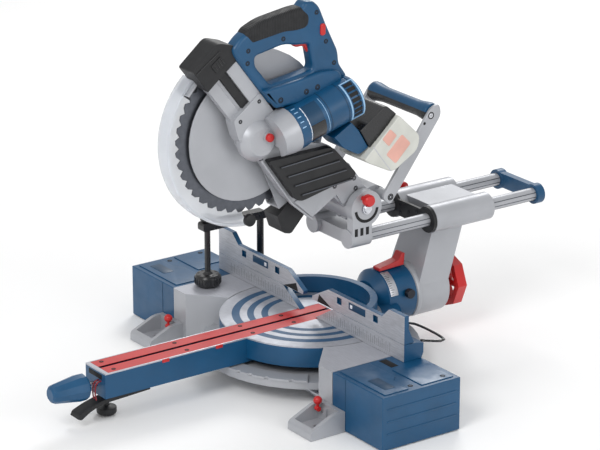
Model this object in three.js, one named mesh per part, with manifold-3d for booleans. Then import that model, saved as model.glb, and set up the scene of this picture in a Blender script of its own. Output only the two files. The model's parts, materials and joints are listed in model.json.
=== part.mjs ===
// Sliding compound mitre saw on its cast base, millimetres, +Z up.
// Design frame: x = 0 is the blade plane (+X to the operator's right), y = 0 is the fence face
// (+Y to the rear), z = 0 is the table top. One outer group then moves the origin to the centre
// of the footprint, on the bench. The saw head is drawn level, as it stands in the cut, about
// its pivot, and its group is turned back to the raised rest position.

import * as THREE from 'three';
import { mergeVertices } from 'three/addons/utils/BufferGeometryUtils.js';
import { ConvexGeometry } from 'three/addons/geometries/ConvexGeometry.js';
import Module from 'manifold-3d';

const wasm = await Module();
wasm.setup();

// ---------- driving dimensions ----------
const GAP = 0.3;                                    // between pieces that touch or run together
const TABLE_HEIGHT = 88;                            // bench to table top
const REAR_OF_ORIGIN = 21.5;                        // fence face to the middle of the footprint
const TURNTABLE = { r: 148, y: 6, skirt: 35, arm: 28.8, armFront: -402, armDepth: 42 };
const COVER = { inner: 224, outer: 353, front: -113, back: 36 };
const FENCE = { end: 257, seam: 29, low: 59, high: 76, thick: 10, back: 38 };
const HUB = { r: 47, front: 118, joint: 188, back: 255 };
const RAIL = { x: 47.5, z: 133, r: 11, front: 48, back: 432 };
const HOUSING = { front: 209, back: 328, r: 23 };
const BRACKET = { front: 42, back: 82, socket: 16, ear: 62, earThick: 15 };
const PIVOT = { y: 71, z: 183, r: 9 };
const RAISE = THREE.MathUtils.degToRad(52.8);       // head lift from the cut to the rest position
const BLADE = { r: 127, y: -232, z: -67, thick: 2.2, teeth: 40, tooth: 7 };
const MOTOR = { x: 55, r: 35, lean: THREE.MathUtils.degToRad(21.4), from: 50, to: 166 };
const GUARD = { outer: 148, inner: 145, left: -24, right: 10, from: 185, to: 327 };
const HANDLE = { left: 22, right: 48 };

const finish = (color, roughness, metalness, extra = {}) =>
  new THREE.MeshStandardMaterial({ color, roughness, metalness, ...extra });
const BLUE = finish(0x005a8f, 0.45, 0.0);
const CAST = finish(0xb9bcc4, 0.42, 0.6);
const STEEL = finish(0xd0d3d8, 0.22, 1.0);
const DARK_STEEL = finish(0x55585d, 0.35, 0.9);
const BLACK = finish(0x1b1c1f, 0.6, 0.0);
const RED = finish(0xd4322c, 0.45, 0.0);
const PALE = finish(0xb9bbb4, 0.6, 0.0);
const CLEAR = finish(0xe8eef2, 0.15, 0.0, { transparent: true, opacity: 0.5 });

// ---------- solids ----------
function solid(geometry) {
  const bare = new THREE.BufferGeometry();
  const flat = geometry.index ? geometry.toNonIndexed() : geometry;
  bare.setAttribute('position', flat.getAttribute('position').clone());
  const merged = mergeVertices(bare, 1e-4);
  const xyz = merged.getAttribute('position').array;
  const kept = [];
  let volume = 0;
  for (let i = 0; i < merged.index.count; i += 3) {
    const [a, b, c] = [0, 1, 2].map((k) => merged.index.getX(i + k));
    if (a === b || b === c || c === a) continue;
    kept.push(a, b, c);
    const [p, q, r] = [a, b, c].map((k) => new THREE.Vector3().fromArray(xyz, 3 * k));
    volume += p.dot(q.cross(r));
  }
  if (volume < 0) kept.reverse();
  const mesh = new wasm.Mesh({ numProp: 3, vertProperties: xyz, triVerts: new Uint32Array(kept) });
  return new wasm.Manifold(mesh);
}

const join = (...pieces) => pieces.reduce((whole, piece) => whole.add(piece));
const cut = (piece, ...tools) => tools.reduce((whole, tool) => whole.subtract(tool), piece);

// An outline is a list of [a, b] corners; [a, b, r] rounds that corner, up to its edges' middles.
function outline(points) {
  const shape = new THREE.Shape();
  points.forEach(([x, y, r = 0], i) => {
    const corner = new THREE.Vector2(x, y);
    const [before, after] = [points.at(i - 1), points[(i + 1) % points.length]].map(
      ([px, py]) => new THREE.Vector2(px, py).sub(corner));
    const reach = Math.min(r, 0.48 * before.length(), 0.48 * after.length());
    const start = corner.clone().addScaledVector(before.clone().normalize(), reach);
    const end = corner.clone().addScaledVector(after.clone().normalize(), reach);
    if (i === 0) shape.moveTo(start.x, start.y);
    else shape.lineTo(start.x, start.y);
    if (r > 0) shape.quadraticCurveTo(x, y, end.x, end.y);
  });
  shape.closePath();
  return shape;
}

const extrude = (points, depth) =>
  new THREE.ExtrudeGeometry(outline(points), { depth, bevelEnabled: false, curveSegments: 4 });

function prismZ(points, z0, z1) {
  return solid(extrude(points, z1 - z0).translate(0, 0, z0));
}

// Outline in (y, z), extruded from x0 to x1.
function prismX(points, x0, x1) {
  const turn = new THREE.Matrix4().set(0, 0, 1, x0, 1, 0, 0, 0, 0, 1, 0, 0, 0, 0, 0, 1);
  return solid(extrude(points, x1 - x0).applyMatrix4(turn));
}

// Outline in (x, z), extruded from y0 to y1.
function prismY(points, y0, y1) {
  const turn = new THREE.Matrix4().set(1, 0, 0, 0, 0, 0, -1, y1, 0, 1, 0, 0, 0, 0, 0, 1);
  return solid(extrude(points, y1 - y0).applyMatrix4(turn));
}

function box(x0, x1, y0, y1, z0, z1) {
  const geometry = new THREE.BoxGeometry(x1 - x0, y1 - y0, z1 - z0);
  return solid(geometry.translate((x0 + x1) / 2, (y0 + y1) / 2, (z0 + z1) / 2));
}

const AXIS = { x: [0, 0, -Math.PI / 2], y: [0, 0, 0], z: [Math.PI / 2, 0, 0] };

// A profile of [radius, distance] turned about an axis through `at`; distance runs along it.
function turned(axis, at, profile, segments = 24) {
  const points = profile.map(([r, d]) => new THREE.Vector2(r, d));
  const geometry = new THREE.LatheGeometry(points, segments);
  geometry.applyMatrix4(new THREE.Matrix4().makeRotationFromEuler(new THREE.Euler(...AXIS[axis])));
  return solid(geometry.translate(...at));
}

function rod(axis, at, r, from, to, segments = 20) {
  return turned(axis, at, [[0, from], [r, from], [r, to], [0, to]], segments);
}

function tube(axis, at, rIn, rOut, from, to, segments = 24) {
  return turned(axis, at, [[rIn, from], [rOut, from], [rOut, to], [rIn, to], [rIn, from]], segments);
}

function hull(points) {
  return solid(new ConvexGeometry(points.map((p) => new THREE.Vector3(...p))));
}

// A round bar bent through the listed points.
function bentBar(points, r, steps, sides = 8) {
  const path = new THREE.CatmullRomCurve3(points.map((p) => new THREE.Vector3(...p)), false,
    'centripetal');
  const section = new THREE.Shape();
  for (let i = 0; i < sides; i += 1) {
    const a = (2 * Math.PI * i) / sides;
    if (i === 0) section.moveTo(r * Math.cos(a), r * Math.sin(a));
    else section.lineTo(r * Math.cos(a), r * Math.sin(a));
  }
  section.closePath();
  return solid(new THREE.ExtrudeGeometry(section, { steps, extrudePath: path, bevelEnabled: false }));
}

// A point [y, z] about the blade axis of the level head, its angle in degrees from +Y.
function bladePoint(r, degrees) {
  const a = THREE.MathUtils.degToRad(degrees);
  return [BLADE.y + r * Math.cos(a), BLADE.z + r * Math.sin(a)];
}

const bladeArc = (r, from, to, steps) =>
  Array.from({ length: steps + 1 }, (_, i) => bladePoint(r, from + ((to - from) * i) / steps));

// A ring sector about the blade axis, from x0 to x1.
function bladeSector(rIn, rOut, from, to, x0, x1, steps = 14) {
  return prismX([...bladeArc(rOut, from, to, steps), ...bladeArc(rIn, to, from, steps)], x0, x1);
}

const mirrorX = (points) => points.map(([x, y, r]) => [-x, y, r]).reverse();
const sideways = (side, a, b) => (side > 0 ? [a, b] : [-b, -a]);
const SIDES = [['left', -1], ['right', 1]];

function part(name, shape, material) {
  const { vertProperties, triVerts } = shape.getMesh();
  const geometry = new THREE.BufferGeometry();
  geometry.setAttribute('position', new THREE.BufferAttribute(new Float32Array(vertProperties), 3));
  geometry.setIndex(new THREE.BufferAttribute(new Uint32Array(triVerts), 1));
  geometry.computeVertexNormals();
  const mesh = new THREE.Mesh(geometry, material);
  mesh.name = name;
  return mesh;
}

// ---------- base ----------
const CENTRE = [0, TURNTABLE.y, 0];
const EXTENSION_BAR = { r: 5, z: -73, front: -80, rear: 14, inner: 100, outer: 336 };

function basePillar(side) {
  const inner = COVER.inner - GAP;
  const plan = [[126, -58], [188, COVER.front], [inner, COVER.front], [inner, 58], [130, 64]];
  const pocket = [[156, -62], [190, -104], [inner - 7, -104], [inner - 7, 50], [156, 54]];
  const shaped = (points) => (side > 0 ? points : mirrorX(points));
  return cut(prismZ(shaped(plan), -84, 0), prismZ(shaped(pocket), -85, -9));
}

function foot(side, front, back) {
  const [x0, x1] = sideways(side, 197, 258);
  const [i0, i1] = sideways(side, 204, 251);
  const mid = (front + back) / 2;
  const slope = [[front, -TABLE_HEIGHT], [back, -TABLE_HEIGHT], [back, -54], [mid + 12, -54, 8],
    [front, -74, 6]];
  const block = prismX(slope, x0, x1);
  const pocket = prismX([[front + 8, -80], [back - 8, -80], [back - 8, -40], [front + 8, -40]], i0, i1);
  const bench = rod('z', [side * 228, mid, 0], 5, -90, -70, 16);
  return cut(block, pocket, bench);
}

function baseCasting() {
  const plate = rod('z', CENTRE, 178, -60, -48.5, 44);
  const boss = rod('z', CENTRE, 45, -49, -TURNTABLE.skirt - GAP, 24);
  let body = join(plate, boss);
  for (const [, side] of SIDES) {
    body = join(body, basePillar(side), foot(side, -178, COVER.front - GAP), foot(side, 36 + GAP, 92));
    const rear = sideways(side, 197, COVER.inner - GAP);
    body = join(body, box(...rear, COVER.back + GAP, 58, -TABLE_HEIGHT, -50));
    body = join(body, box(...sideways(side, 197, COVER.inner - GAP), -125, -104, -TABLE_HEIGHT, -60));
  }
  const clearance = rod('z', CENTRE, TURNTABLE.r + 2, -48.4, 1, 48);
  const pivotHole = rod('z', CENTRE, 12, -70, -30, 16);
  const holes = [EXTENSION_BAR.front, EXTENSION_BAR.rear].flatMap((y) =>
    SIDES.map(([, side]) => rod('x', [0, y, EXTENSION_BAR.z], EXTENSION_BAR.r + GAP,
      ...sideways(side, 90, 240), 12)));
  const clampHole = rod('z', [CLAMP.x, CLAMP.post, 0], CLAMP.r + GAP, -30, 1, 16);
  const levers = SIDES.map(([, side]) =>
    box(...sideways(side, LEVER.x - 4.5, LEVER.x + 4.5), LEVER.y - 7, LEVER.y + 9, -68, -40));
  body = join(cut(body, clearance), rod('z', CENTRE, 45, -49, -TURNTABLE.skirt - GAP, 24));
  return cut(body, pivotHole, ...holes, clampHole, ...levers);
}

function detentPlate() {
  const reach = THREE.MathUtils.degToRad(53);
  const arc = (r, from, to) => Array.from({ length: 25 }, (_, i) => {
    const a = -Math.PI / 2 + from + ((to - from) * i) / 24;
    return [r * Math.cos(a), TURNTABLE.y + r * Math.sin(a)];
  });
  const ring = prismZ([...arc(180, -reach, reach), ...arc(152, reach, -reach)], -48.2, -44.4);
  const stops = [-45, -31.6, -22.5, -15, 0, 15, 22.5, 31.6, 45];
  const notches = stops.map((degrees) => {
    const a = -Math.PI / 2 + THREE.MathUtils.degToRad(degrees);
    return rod('z', [180 * Math.cos(a), TURNTABLE.y + 180 * Math.sin(a), 0], 4, -50, -40, 8);
  });
  return cut(ring, ...notches);
}

// ---------- table extensions and their clamping levers ----------
function extensionCover(side) {
  const wall = 3;
  const [x0, x1] = sideways(side, COVER.inner, COVER.outer);
  const [h0, h1] = sideways(side, COVER.inner - 1, COVER.outer - wall);
  const shell = box(x0, x1, COVER.front, COVER.back, -87, 0);
  const hollow = box(h0, h1, COVER.front + wall, COVER.back - wall, -87 + wall, -wall);
  return cut(shell, hollow);
}

function extensionBar(side) {
  const { r, z, front, rear, inner, outer } = EXTENSION_BAR;
  const legs = [front, rear].map((y) => rod('x', [0, y, z], r, ...sideways(side, inner, outer), 10));
  const cross = rod('y', [side * outer, 0, z], r, front, rear, 10);
  const corners = [front, rear].map((y) =>
    solid(new THREE.SphereGeometry(r, 10, 6).translate(side * outer, y, z)));
  return join(...legs, cross, ...corners);
}

const LEVER = { x: 212, y: -132, pivot: -60, ball: -46, r: 7 };

function extensionLever(side) {
  const x = side * LEVER.x;
  const ball = solid(new THREE.SphereGeometry(LEVER.r, 14, 10).translate(x, LEVER.y, LEVER.ball));
  const stem = rod('z', [x, LEVER.y, 0], 2.2, LEVER.pivot, LEVER.ball, 8);
  const eye = rod('x', [0, LEVER.y, LEVER.pivot], 4, ...sideways(side, LEVER.x - 4, LEVER.x + 4), 12);
  return join(ball, stem, eye);
}

// ---------- fences and clamp ----------
function fenceHalf(side) {
  const face = [[21, GAP], [FENCE.end, GAP], [FENCE.end, FENCE.seam - GAP], [69, FENCE.seam - GAP]];
  const rib = [[FENCE.thick - 1, GAP], [34, GAP], [FENCE.back, 9], [FENCE.back, 25], [22, 28], [9, 28]];
  const shaped = side > 0 ? face : mirrorX(face);
  return join(prismY(shaped, 0, FENCE.thick), prismX(rib, ...sideways(side, 92, FENCE.end)));
}

const ARCH = { inner: 96, outer: 108, high: 27 };

// Both fence halves and the arch that joins them behind the blade are one casting.
function fixedFence() {
  const ring = tube('z', CENTRE, ARCH.inner, ARCH.outer, GAP, ARCH.high, 48);
  const front = box(-120, 120, -120, FENCE.thick - 1, -1, 30);
  return join(cut(ring, front), ...SIDES.map(([, side]) => fenceHalf(side)));
}

function slidingFence(side) {
  const top = FENCE.seam;
  const face = [[13, top], [FENCE.end, top], [FENCE.end, FENCE.high], [217, FENCE.high],
    [199, FENCE.low], [56, FENCE.low], [30, 45], [18, 38], [12, 35]];
  const rib = [[FENCE.thick - 2, top], [20, top], [16, 38], [8, 56]];
  const windows = [80, 176].map((x) => box(...sideways(side, x, x + 12), -2, 5, 43, 54));
  const shaped = side > 0 ? face : mirrorX(face);
  const body = join(prismY(shaped, 0, FENCE.thick - 1), prismX(rib, ...sideways(side, 92, FENCE.end)));
  return cut(body, ...windows);
}

function rearWireBracket() {
  const z = 24;
  return bentBar([[176, FENCE.back + 2.5, z], [176, 70, z], [184, 76, z], [262, 74, z], [266, 68, z],
    [245, FENCE.back + 2.5, z]], 2.2, 20, 6);
}

const CLAMP = { x: -201, post: 46, screw: -60, r: 6, arm: 98, top: 112, pad: 22 };

function clampPost() {
  const { x, post, screw, r, arm, top } = CLAMP;
  const upright = rod('z', [x, post, 0], r, -25, top - 2, 16);
  const beam = prismX([[screw - 13, arm, 4], [screw - 13, top, 5], [post + 7, top, 5],
    [post + 7, arm, 3]], x - 9, x + 9);
  const bore = rod('z', [x, screw, 0], 5 + GAP, arm - 1, top + 1, 16);
  return join(cut(beam, bore), upright);
}

function clampScrew() {
  const { x, screw, pad, top } = CLAMP;
  return turned('z', [x, screw, 0], [[0, 1], [pad - 3, 1], [pad, 5], [pad, 17], [pad - 3, 21], [9, 21],
    [5, 25], [5, top + 1], [10, top + 1], [12, top + 4], [12, top + 11], [0, top + 11]], 20);
}

// ---------- turntable ----------
const KERF = { front: -395, back: 41, half: 27, slot: 3, thick: 3 };

function turntableCasting() {
  const { r, skirt, arm, armFront, armDepth } = TURNTABLE;
  const disc = rod('z', CENTRE, r, -skirt, 0, 56);
  const underside = tube('z', CENTRE, 40, r - 7, -skirt - 1, -9, 32);
  const beam = box(-arm, arm, armFront, -60, -armDepth, 0);
  const keel = box(-arm + 4, arm - 4, -150, 60, -skirt, -1);
  const hub = turned('y', [0, 0, 0], [[0, HUB.front], [30, HUB.front], [HUB.r, HUB.front + 14],
    [HUB.r, HUB.joint - GAP], [0, HUB.joint - GAP]], 32);
  const trough = box(-14, 14, KERF.front + 3, KERF.back - 3, -30, 1);
  const rebate = box(-KERF.half - GAP, KERF.half + GAP, KERF.front - GAP, KERF.back + GAP,
    -KERF.thick - GAP, 1);
  const knobBore = rod('y', [0, 0, KNOB.z], 5 + GAP, armFront - 1, -370, 16);
  const tie = rod('y', [0, 0, 0], 6 + GAP, HUB.joint - 60, HUB.joint + 1, 16);
  const stop = rod('x', [0, STOP.y, STOP.z], 4 + GAP, 30, 60, 12);
  const footHole = rod('z', [ARM_FOOT.x, ARM_FOOT.y, 0], 4 + GAP, -armDepth - 1, -32, 12);
  const body = join(cut(disc, underside), beam, keel, hub);
  const clear = box(-LEVER_WIDTH - 1, LEVER_WIDTH + 1, PADDLE.pivot - 12, PADDLE.pivot + 12,
    -armDepth - 1, -34);
  return cut(body, trough, rebate, knobBore, tie, stop, footHole, clear);
}

function kerfInsert(side) {
  const top = -0.1;
  const low = -KERF.thick;
  const section = [[KERF.slot, top], [KERF.half, top], [KERF.half, low], [KERF.slot + 3.2, low]];
  return prismY(side > 0 ? section : mirrorX(section), KERF.front, KERF.back);
}

const KNOB = { z: -25, rear: -420, front: -484 };

function mitreLockKnob() {
  const profile = [[0, KNOB.front], [11, KNOB.front], [14, KNOB.front + 4], [21, KNOB.rear - 14],
    [21, KNOB.rear - 3], [17, KNOB.rear], [5 + GAP, KNOB.rear], [5 + GAP, KNOB.rear - 30],
    [0, KNOB.rear - 30]];
  return turned('y', [0, 0, KNOB.z], profile, 24);
}

function mitreLockSpindle() {
  return rod('y', [0, 0, KNOB.z], 5, KNOB.rear - 29.7, -372, 16);
}

const PADDLE = { pivot: -318, tip: -442 };
const LEVER_WIDTH = 12;

function detentLever() {
  const blade = [[PADDLE.tip, -72], [PADDLE.tip + 3, -65, 3], [-418, -57, 8], [-395, -51, 6],
    [PADDLE.pivot, -46.5], [PADDLE.pivot + 8, -46.5], [PADDLE.pivot + 8, -53], [-392, -57, 6],
    [-416, -63, 8], [PADDLE.tip + 6, -75, 3]];
  const eye = rod('x', [0, PADDLE.pivot, -46], 5, -LEVER_WIDTH, LEVER_WIDTH, 12);
  const slot = rod('z', [ARM_FOOT.x, ARM_FOOT.y, 0], 9.5, -80, -40, 16);
  const open = box(-30, ARM_FOOT.x, ARM_FOOT.y - 9.5, ARM_FOOT.y + 9.5, -80, -40);
  return cut(join(prismX(blade, -LEVER_WIDTH, LEVER_WIDTH), eye), slot, open);
}

const ARM_FOOT = { x: -14, y: -375 };

function armFoot() {
  return turned('z', [ARM_FOOT.x, ARM_FOOT.y, 0], [[0, -86], [14, -86], [16, -83], [16, -75],
    [5, -72], [4, -70], [4, -33], [0, -33]], 20);
}

const STOP = { y: 168, z: 14 };

function bevelStopBolt() {
  return turned('x', [0, STOP.y, STOP.z], [[0, 33], [4, 33], [4, HUB.r + 1], [8, HUB.r + 1],
    [8, HUB.r + 10], [0, HUB.r + 10]], 12);
}

function bevelRangeLever() {
  const z = HUB.r + GAP;
  const blade = [[134, z], [184, z + 2], [186, z + 22], [180, z + 24, 3], [174, z + 12, 4],
    [134, z + 5, 2]];
  return cut(prismX(blade, -4, 14), rod('y', [0, 0, 0], HUB.r + GAP, 100, 200, 36));
}

// ---------- tilting column, rails and carriage ----------
function tiltColumn() {
  const hub = rod('y', [0, 0, 0], HUB.r, HUB.joint, HUB.back, 36);
  const low = [-44, 44].flatMap((x) => [[x, HUB.joint, 5], [x, HUB.back - 5, 5]]);
  const high = [-36, 36].flatMap((x) => [[x, 230, RAIL.z - 8], [x, 294, RAIL.z - 8]]);
  const barrels = SIDES.map(([, side]) =>
    rod('y', [side * RAIL.x, 0, RAIL.z], HOUSING.r, HOUSING.front, HOUSING.back, 22));
  const saddle = box(-RAIL.x, RAIL.x, HOUSING.front + 14, HOUSING.back - 10, RAIL.z - 16, RAIL.z + 17);
  const bores = SIDES.map(([, side]) =>
    rod('y', [side * RAIL.x, 0, RAIL.z], RAIL.r + 1.2, HOUSING.front - 2, HOUSING.back + 2, 20));
  const seats = SIDES.map(([, side]) =>
    rod('y', [side * RAIL.x, 0, RAIL.z], 18, HOUSING.front - 1, HOUSING.front + 8, 20));
  const tie = rod('y', [0, 0, 0], 6 + GAP, HUB.joint - 1, HUB.back + 1, 16);
  const lock = rod('x', [0, SLIDE_LOCK.y, SLIDE_LOCK.z], 4 + GAP, -80, -RAIL.x - 14, 12);
  const body = join(hub, hull([...low, ...high]), ...barrels, saddle);
  return cut(body, ...bores, ...seats, tie, lock);
}

function railSealPlate() {
  const y0 = HOUSING.front - 6;
  const y1 = HOUSING.front - GAP;
  const rings = SIDES.map(([, side]) => rod('y', [side * RAIL.x, 0, RAIL.z], HOUSING.r - 1, y0, y1, 20));
  const bars = SIDES.map(([, side]) =>
    rod('y', [side * RAIL.x, 0, RAIL.z], RAIL.r + GAP, y0 - 1, y1 + 1, 20));
  return cut(join(...rings, box(-RAIL.x, RAIL.x, y0, y1, RAIL.z - 14, RAIL.z + 14)), ...bars);
}

const SLIDE_LOCK = { y: 250, z: 146 };

function slideLockKnob() {
  const out = -RAIL.x - HOUSING.r;
  return turned('x', [0, SLIDE_LOCK.y, SLIDE_LOCK.z], [[0, out - 17], [7, out - 17], [9, out - 14],
    [9, out - 3], [4, out - 3], [4, -RAIL.x - 16], [0, -RAIL.x - 16]], 14);
}

const WHEEL = { r: 48, front: 273, back: 291 };

function bevelLockWheel() {
  const { r, front, back } = WHEEL;
  const rim = tube('y', [0, 0, 0], r - 11, r, front, back, 8);
  const spokes = [0, 60, 120].map((degrees) => {
    const a = THREE.MathUtils.degToRad(degrees);
    const [c, s] = [Math.cos(a), Math.sin(a)];
    const corner = (u, v) => [u * c - v * s, u * s + v * c];
    return prismY([corner(-40, -5), corner(40, -5), corner(40, 5), corner(-40, 5)], front + 4, back - 4);
  });
  const boss = rod('y', [0, 0, 0], 14, HUB.back + GAP, back, 20);
  const bore = rod('y', [0, 0, 0], 6 + GAP, HUB.back - 1, back - 4, 16);
  return cut(join(rim, ...spokes, boss), bore);
}

function bevelTieBolt() {
  return rod('y', [0, 0, 0], 6, HUB.joint - 58, WHEEL.back - 4 - GAP, 16);
}

function railBar(side) {
  return rod('y', [side * RAIL.x, 0, RAIL.z], RAIL.r, RAIL.front + GAP, RAIL.back - GAP, 20);
}

function railEndCap() {
  const [y0, y1] = [426, 441];
  const lobes = SIDES.map(([, side]) => rod('y', [side * RAIL.x, 0, RAIL.z], 17, y0, y1, 24));
  const web = prismY([[-RAIL.x, RAIL.z - 11], [RAIL.x, RAIL.z - 11], [RAIL.x, RAIL.z + 14],
    [-RAIL.x, RAIL.z + 14]], y0 + 1, y1 - 1);
  const bores = SIDES.map(([, side]) =>
    rod('y', [side * RAIL.x, 0, RAIL.z], RAIL.r + GAP, y0 - 1, RAIL.back, 20));
  return cut(join(...lobes, web), ...bores);
}

function carriageBracket() {
  const { front, back, socket, ear, earThick } = BRACKET;
  const sockets = SIDES.map(([, side]) => rod('y', [side * RAIL.x, 0, RAIL.z], socket, front, back, 20));
  const web = box(-RAIL.x, RAIL.x, front + 8, back, RAIL.z - 13, RAIL.z + 9);
  const plate = [[front + 2, RAIL.z - 6], [back, RAIL.z - 6], [back, 158], [96, 166],
    [PIVOT.y, PIVOT.z], [44, PIVOT.z - 8, 8]];
  const ears = SIDES.map(([, side]) => {
    const [x0, x1] = sideways(side, ear - earThick, ear);
    return join(prismX(plate, x0, x1), rod('x', [0, PIVOT.y, PIVOT.z], 30, x0, x1, 32));
  });
  const bores = SIDES.map(([, side]) =>
    rod('y', [side * RAIL.x, 0, RAIL.z], RAIL.r + GAP, RAIL.front, back + 20, 20));
  const shaft = rod('x', [0, PIVOT.y, PIVOT.z], PIVOT.r + GAP, -80, 80, 20);
  const pin = rod('x', [0, LOCK_PIN.y, LOCK_PIN.z], LOCK_PIN.r + GAP, 0, 80, 12);
  return cut(join(...sockets, web, ...ears), ...bores, shaft, pin);
}

function pivotShaft() {
  return rod('x', [0, PIVOT.y, PIVOT.z], PIVOT.r, -SPRING.end, BRACKET.ear + 3, 20);
}

const LOCK_PIN = { y: 64, z: 202, r: 4, stroke: 10 };

function headLockPin() {
  const { y, z, r, stroke } = LOCK_PIN;
  const out = BRACKET.ear + GAP;
  const tip = BRACKET.ear - BRACKET.earThick + GAP;
  const profile = [[0, tip], [r, tip], [r, out + stroke], [10, out + stroke], [10, out + stroke + 8],
    [8, out + stroke + 11], [0, out + stroke + 11]];
  return turned('x', [0, y, z], profile, 18);
}

// ---------- saw head, drawn level about its pivot ----------
const ARM_PLATE = { left: 20.5, right: 44 };
const CARRY = { y: 17, z: 42, topY: -29, topZ: 189, left: -98, right: 62 };
const motorPoint = (t, across = 0) => [
  BLADE.y + t * Math.sin(MOTOR.lean) + across * Math.cos(MOTOR.lean),
  BLADE.z + t * Math.cos(MOTOR.lean) - across * Math.sin(MOTOR.lean)];

// A piece turned about the motor axis: profile of [radius, distance from the blade axis].
function motorTurned(profile, segments = 28) {
  const geometry = new THREE.LatheGeometry(profile.map(([r, d]) => new THREE.Vector2(r, d)), segments);
  geometry.rotateX(Math.PI / 2);
  geometry.rotateX(-MOTOR.lean);
  return solid(geometry.translate(MOTOR.x, BLADE.y, BLADE.z));
}

const SHOE = [[-155, 22], [-128, 24, 6], [-96, 38, 6], [-93, 58], [-128, 62], [-150, 60]];

// Room for the motor, its gear flange and the battery shoe, wider by `gap`.
function motorSpace(gap) {
  const r = MOTOR.r + 2 + gap;
  const barrel = motorTurned([[0, MOTOR.from - 12], [r, MOTOR.from - 12], [r, 260], [0, 260]], 28);
  const shoe = SHOE.map(([y, z]) => [y + Math.sign(y + 124) * gap, z + Math.sign(z - 40) * gap]);
  return join(barrel, prismX(shoe, MOTOR.x - 24 - gap, MOTOR.x + 24 + gap));
}

function headArm() {
  const plate = [[-205, -83, 6], [-113, -87, 10], [-56, -76, 8], [-50, -20], [-28, -22], [-14, 26],
    [-50, 28, 8], [-128, 20, 8], [-205, -38, 8]];
  const hub = rod('x', [0, 0, 0], 27, -46, 46, 28);
  const yoke = prismX([[-76, -28, 6], [-20, -22], [-10, 24], [-74, 30, 6]], -36, 40);
  const horn = prismX([[-18, 8], [16, -6], [31, 36, 6], [20, 54, 6], [2, 46, 6]], -36, 36);
  const cross = rod('x', [0, CARRY.y, CARRY.z], 9, CARRY.left + 6 + GAP, CARRY.right - GAP, 20);
  const shaft = rod('x', [0, 0, 0], PIVOT.r + GAP, -50, 50, 20);
  const reach = Math.hypot(LOCK_PIN.y - PIVOT.y, LOCK_PIN.z - PIVOT.z);
  const groove = tube('x', [0, 0, 0], reach - 5, reach + 5, 46 - LOCK_PIN.stroke, 60, 28);
  const lockAt = [0, LOCK_PIN.y - PIVOT.y, LOCK_PIN.z - PIVOT.z];
  const lockHole = rod('x', lockAt, LOCK_PIN.r + GAP, 20, 60, 12);
  const body = join(prismX(plate, ARM_PLATE.left, ARM_PLATE.right), hub, yoke, horn, cross);
  const blade = rod('x', [0, BLADE.y, BLADE.z], GUARD.outer + 2, -60, 19.5, 48);
  return cut(body, shaft, groove, lockHole, blade, motorSpace(0.5));
}

function armCover() {
  const face = [[-203, -80, 6], [-106, -83, 14], [-56, 24, 10], [-130, 18, 8]];
  const shell = prismX(face, ARM_PLATE.right + GAP, 58);
  const ribs = [0, 1, 2, 3].map((i) => {
    const y = -180 + i * 22;
    const z = -72;
    return prismX([[y, z], [y + 4, z], [y + 58, z + 86], [y + 54, z + 86]], 57, 60);
  });
  return cut(join(shell, ...ribs), motorSpace(0.5));
}

function gearHousing() {
  const block = [[-292, -80, 6], [-292, -18.5, 4], [-246, -18.5, 6], [-176, -24, 4], [-184, -58, 8],
    [-206, -90, 8], [-262, -92, 8]];
  const beamLow = prismX([[-363, -80], [-363, -55], [-280, -55], [-280, -80]], 20, 32);
  const beamHigh = prismX([[-363, -40], [-363, -18], [-280, -18], [-280, -40]], 20, 40);
  const cup = turned('x', [0, BLADE.y, BLADE.z], [[0, 30], [34, 30], [34, 40], [28, 49], [22, 53],
    [0, 53]], 28);
  const lock = rod('x', [0, SPINDLE_LOCK.y, SPINDLE_LOCK.z], 9, 30, 56, 16);
  const lockBore = rod('x', [0, SPINDLE_LOCK.y, SPINDLE_LOCK.z], 6 + GAP, 46, 60, 16);
  const flange = motorTurned([[0, 20], [33, 20], [37, 40], [37, MOTOR.from - GAP],
    [0, MOTOR.from - GAP]], 24);
  const arbor = rod('x', [0, BLADE.y, BLADE.z], 9 + GAP, 0, 40, 20);
  const solidBlock = join(prismX(block, 17.5, ARM_PLATE.right - 2), beamLow, beamHigh, cup, lock);
  const withFlange = join(solidBlock, cut(flange, box(-40, 17.5, -400, 0, -200, 200)));
  const arm = [[-209, -96], [-209, -20], [-120, 50], [-100, -96]];
  const barrel = motorTurned([[0, MOTOR.from - GAP], [MOTOR.r + 1 + GAP, MOTOR.from - GAP],
    [MOTOR.r + 1 + GAP, 200], [0, 200]], 32);
  return cut(withFlange, arbor, lockBore, barrel, prismX(arm, 15, ARM_PLATE.right + 18));
}

const SPINDLE_LOCK = { y: -232, z: -55 };

function spindleLockButton() {
  return turned('x', [0, SPINDLE_LOCK.y, SPINDLE_LOCK.z], [[0, 51], [6, 51], [6, 60], [5, 62],
    [0, 62]], 16);
}

function upperGuard() {
  const rim = bladeSector(138, 141.5, -14, 196, -18, 16, 22);
  const right = bladeSector(40, 140, -14, 186, 13.5, 16, 20);
  const left = bladeSector(24, 140, -14, 196, -18, -15.5, 22);
  const hubRing = tube('x', [0, BLADE.y, BLADE.z], 16, 27, -18, -15.5, 24);
  const hub = tube('x', [0, BLADE.y, BLADE.z], 16, 21.5, -26, -16, 24);
  const boltBore = rod('x', [0, BLADE.y, BLADE.z], 15.9, -27, -15, 20);
  return cut(join(rim, right, left, hubRing, hub), boltBore);
}

function guardSidePlate() {
  const disc = rod('x', [0, BLADE.y, BLADE.z], 106, 5, 8, 48);
  const collar = rod('x', [0, BLADE.y, BLADE.z], 24, 7, 17.2, 24);
  const bore = rod('x', [0, BLADE.y, BLADE.z], 13 + GAP, 0, 30, 24);
  return cut(join(disc, collar), bore);
}

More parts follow.
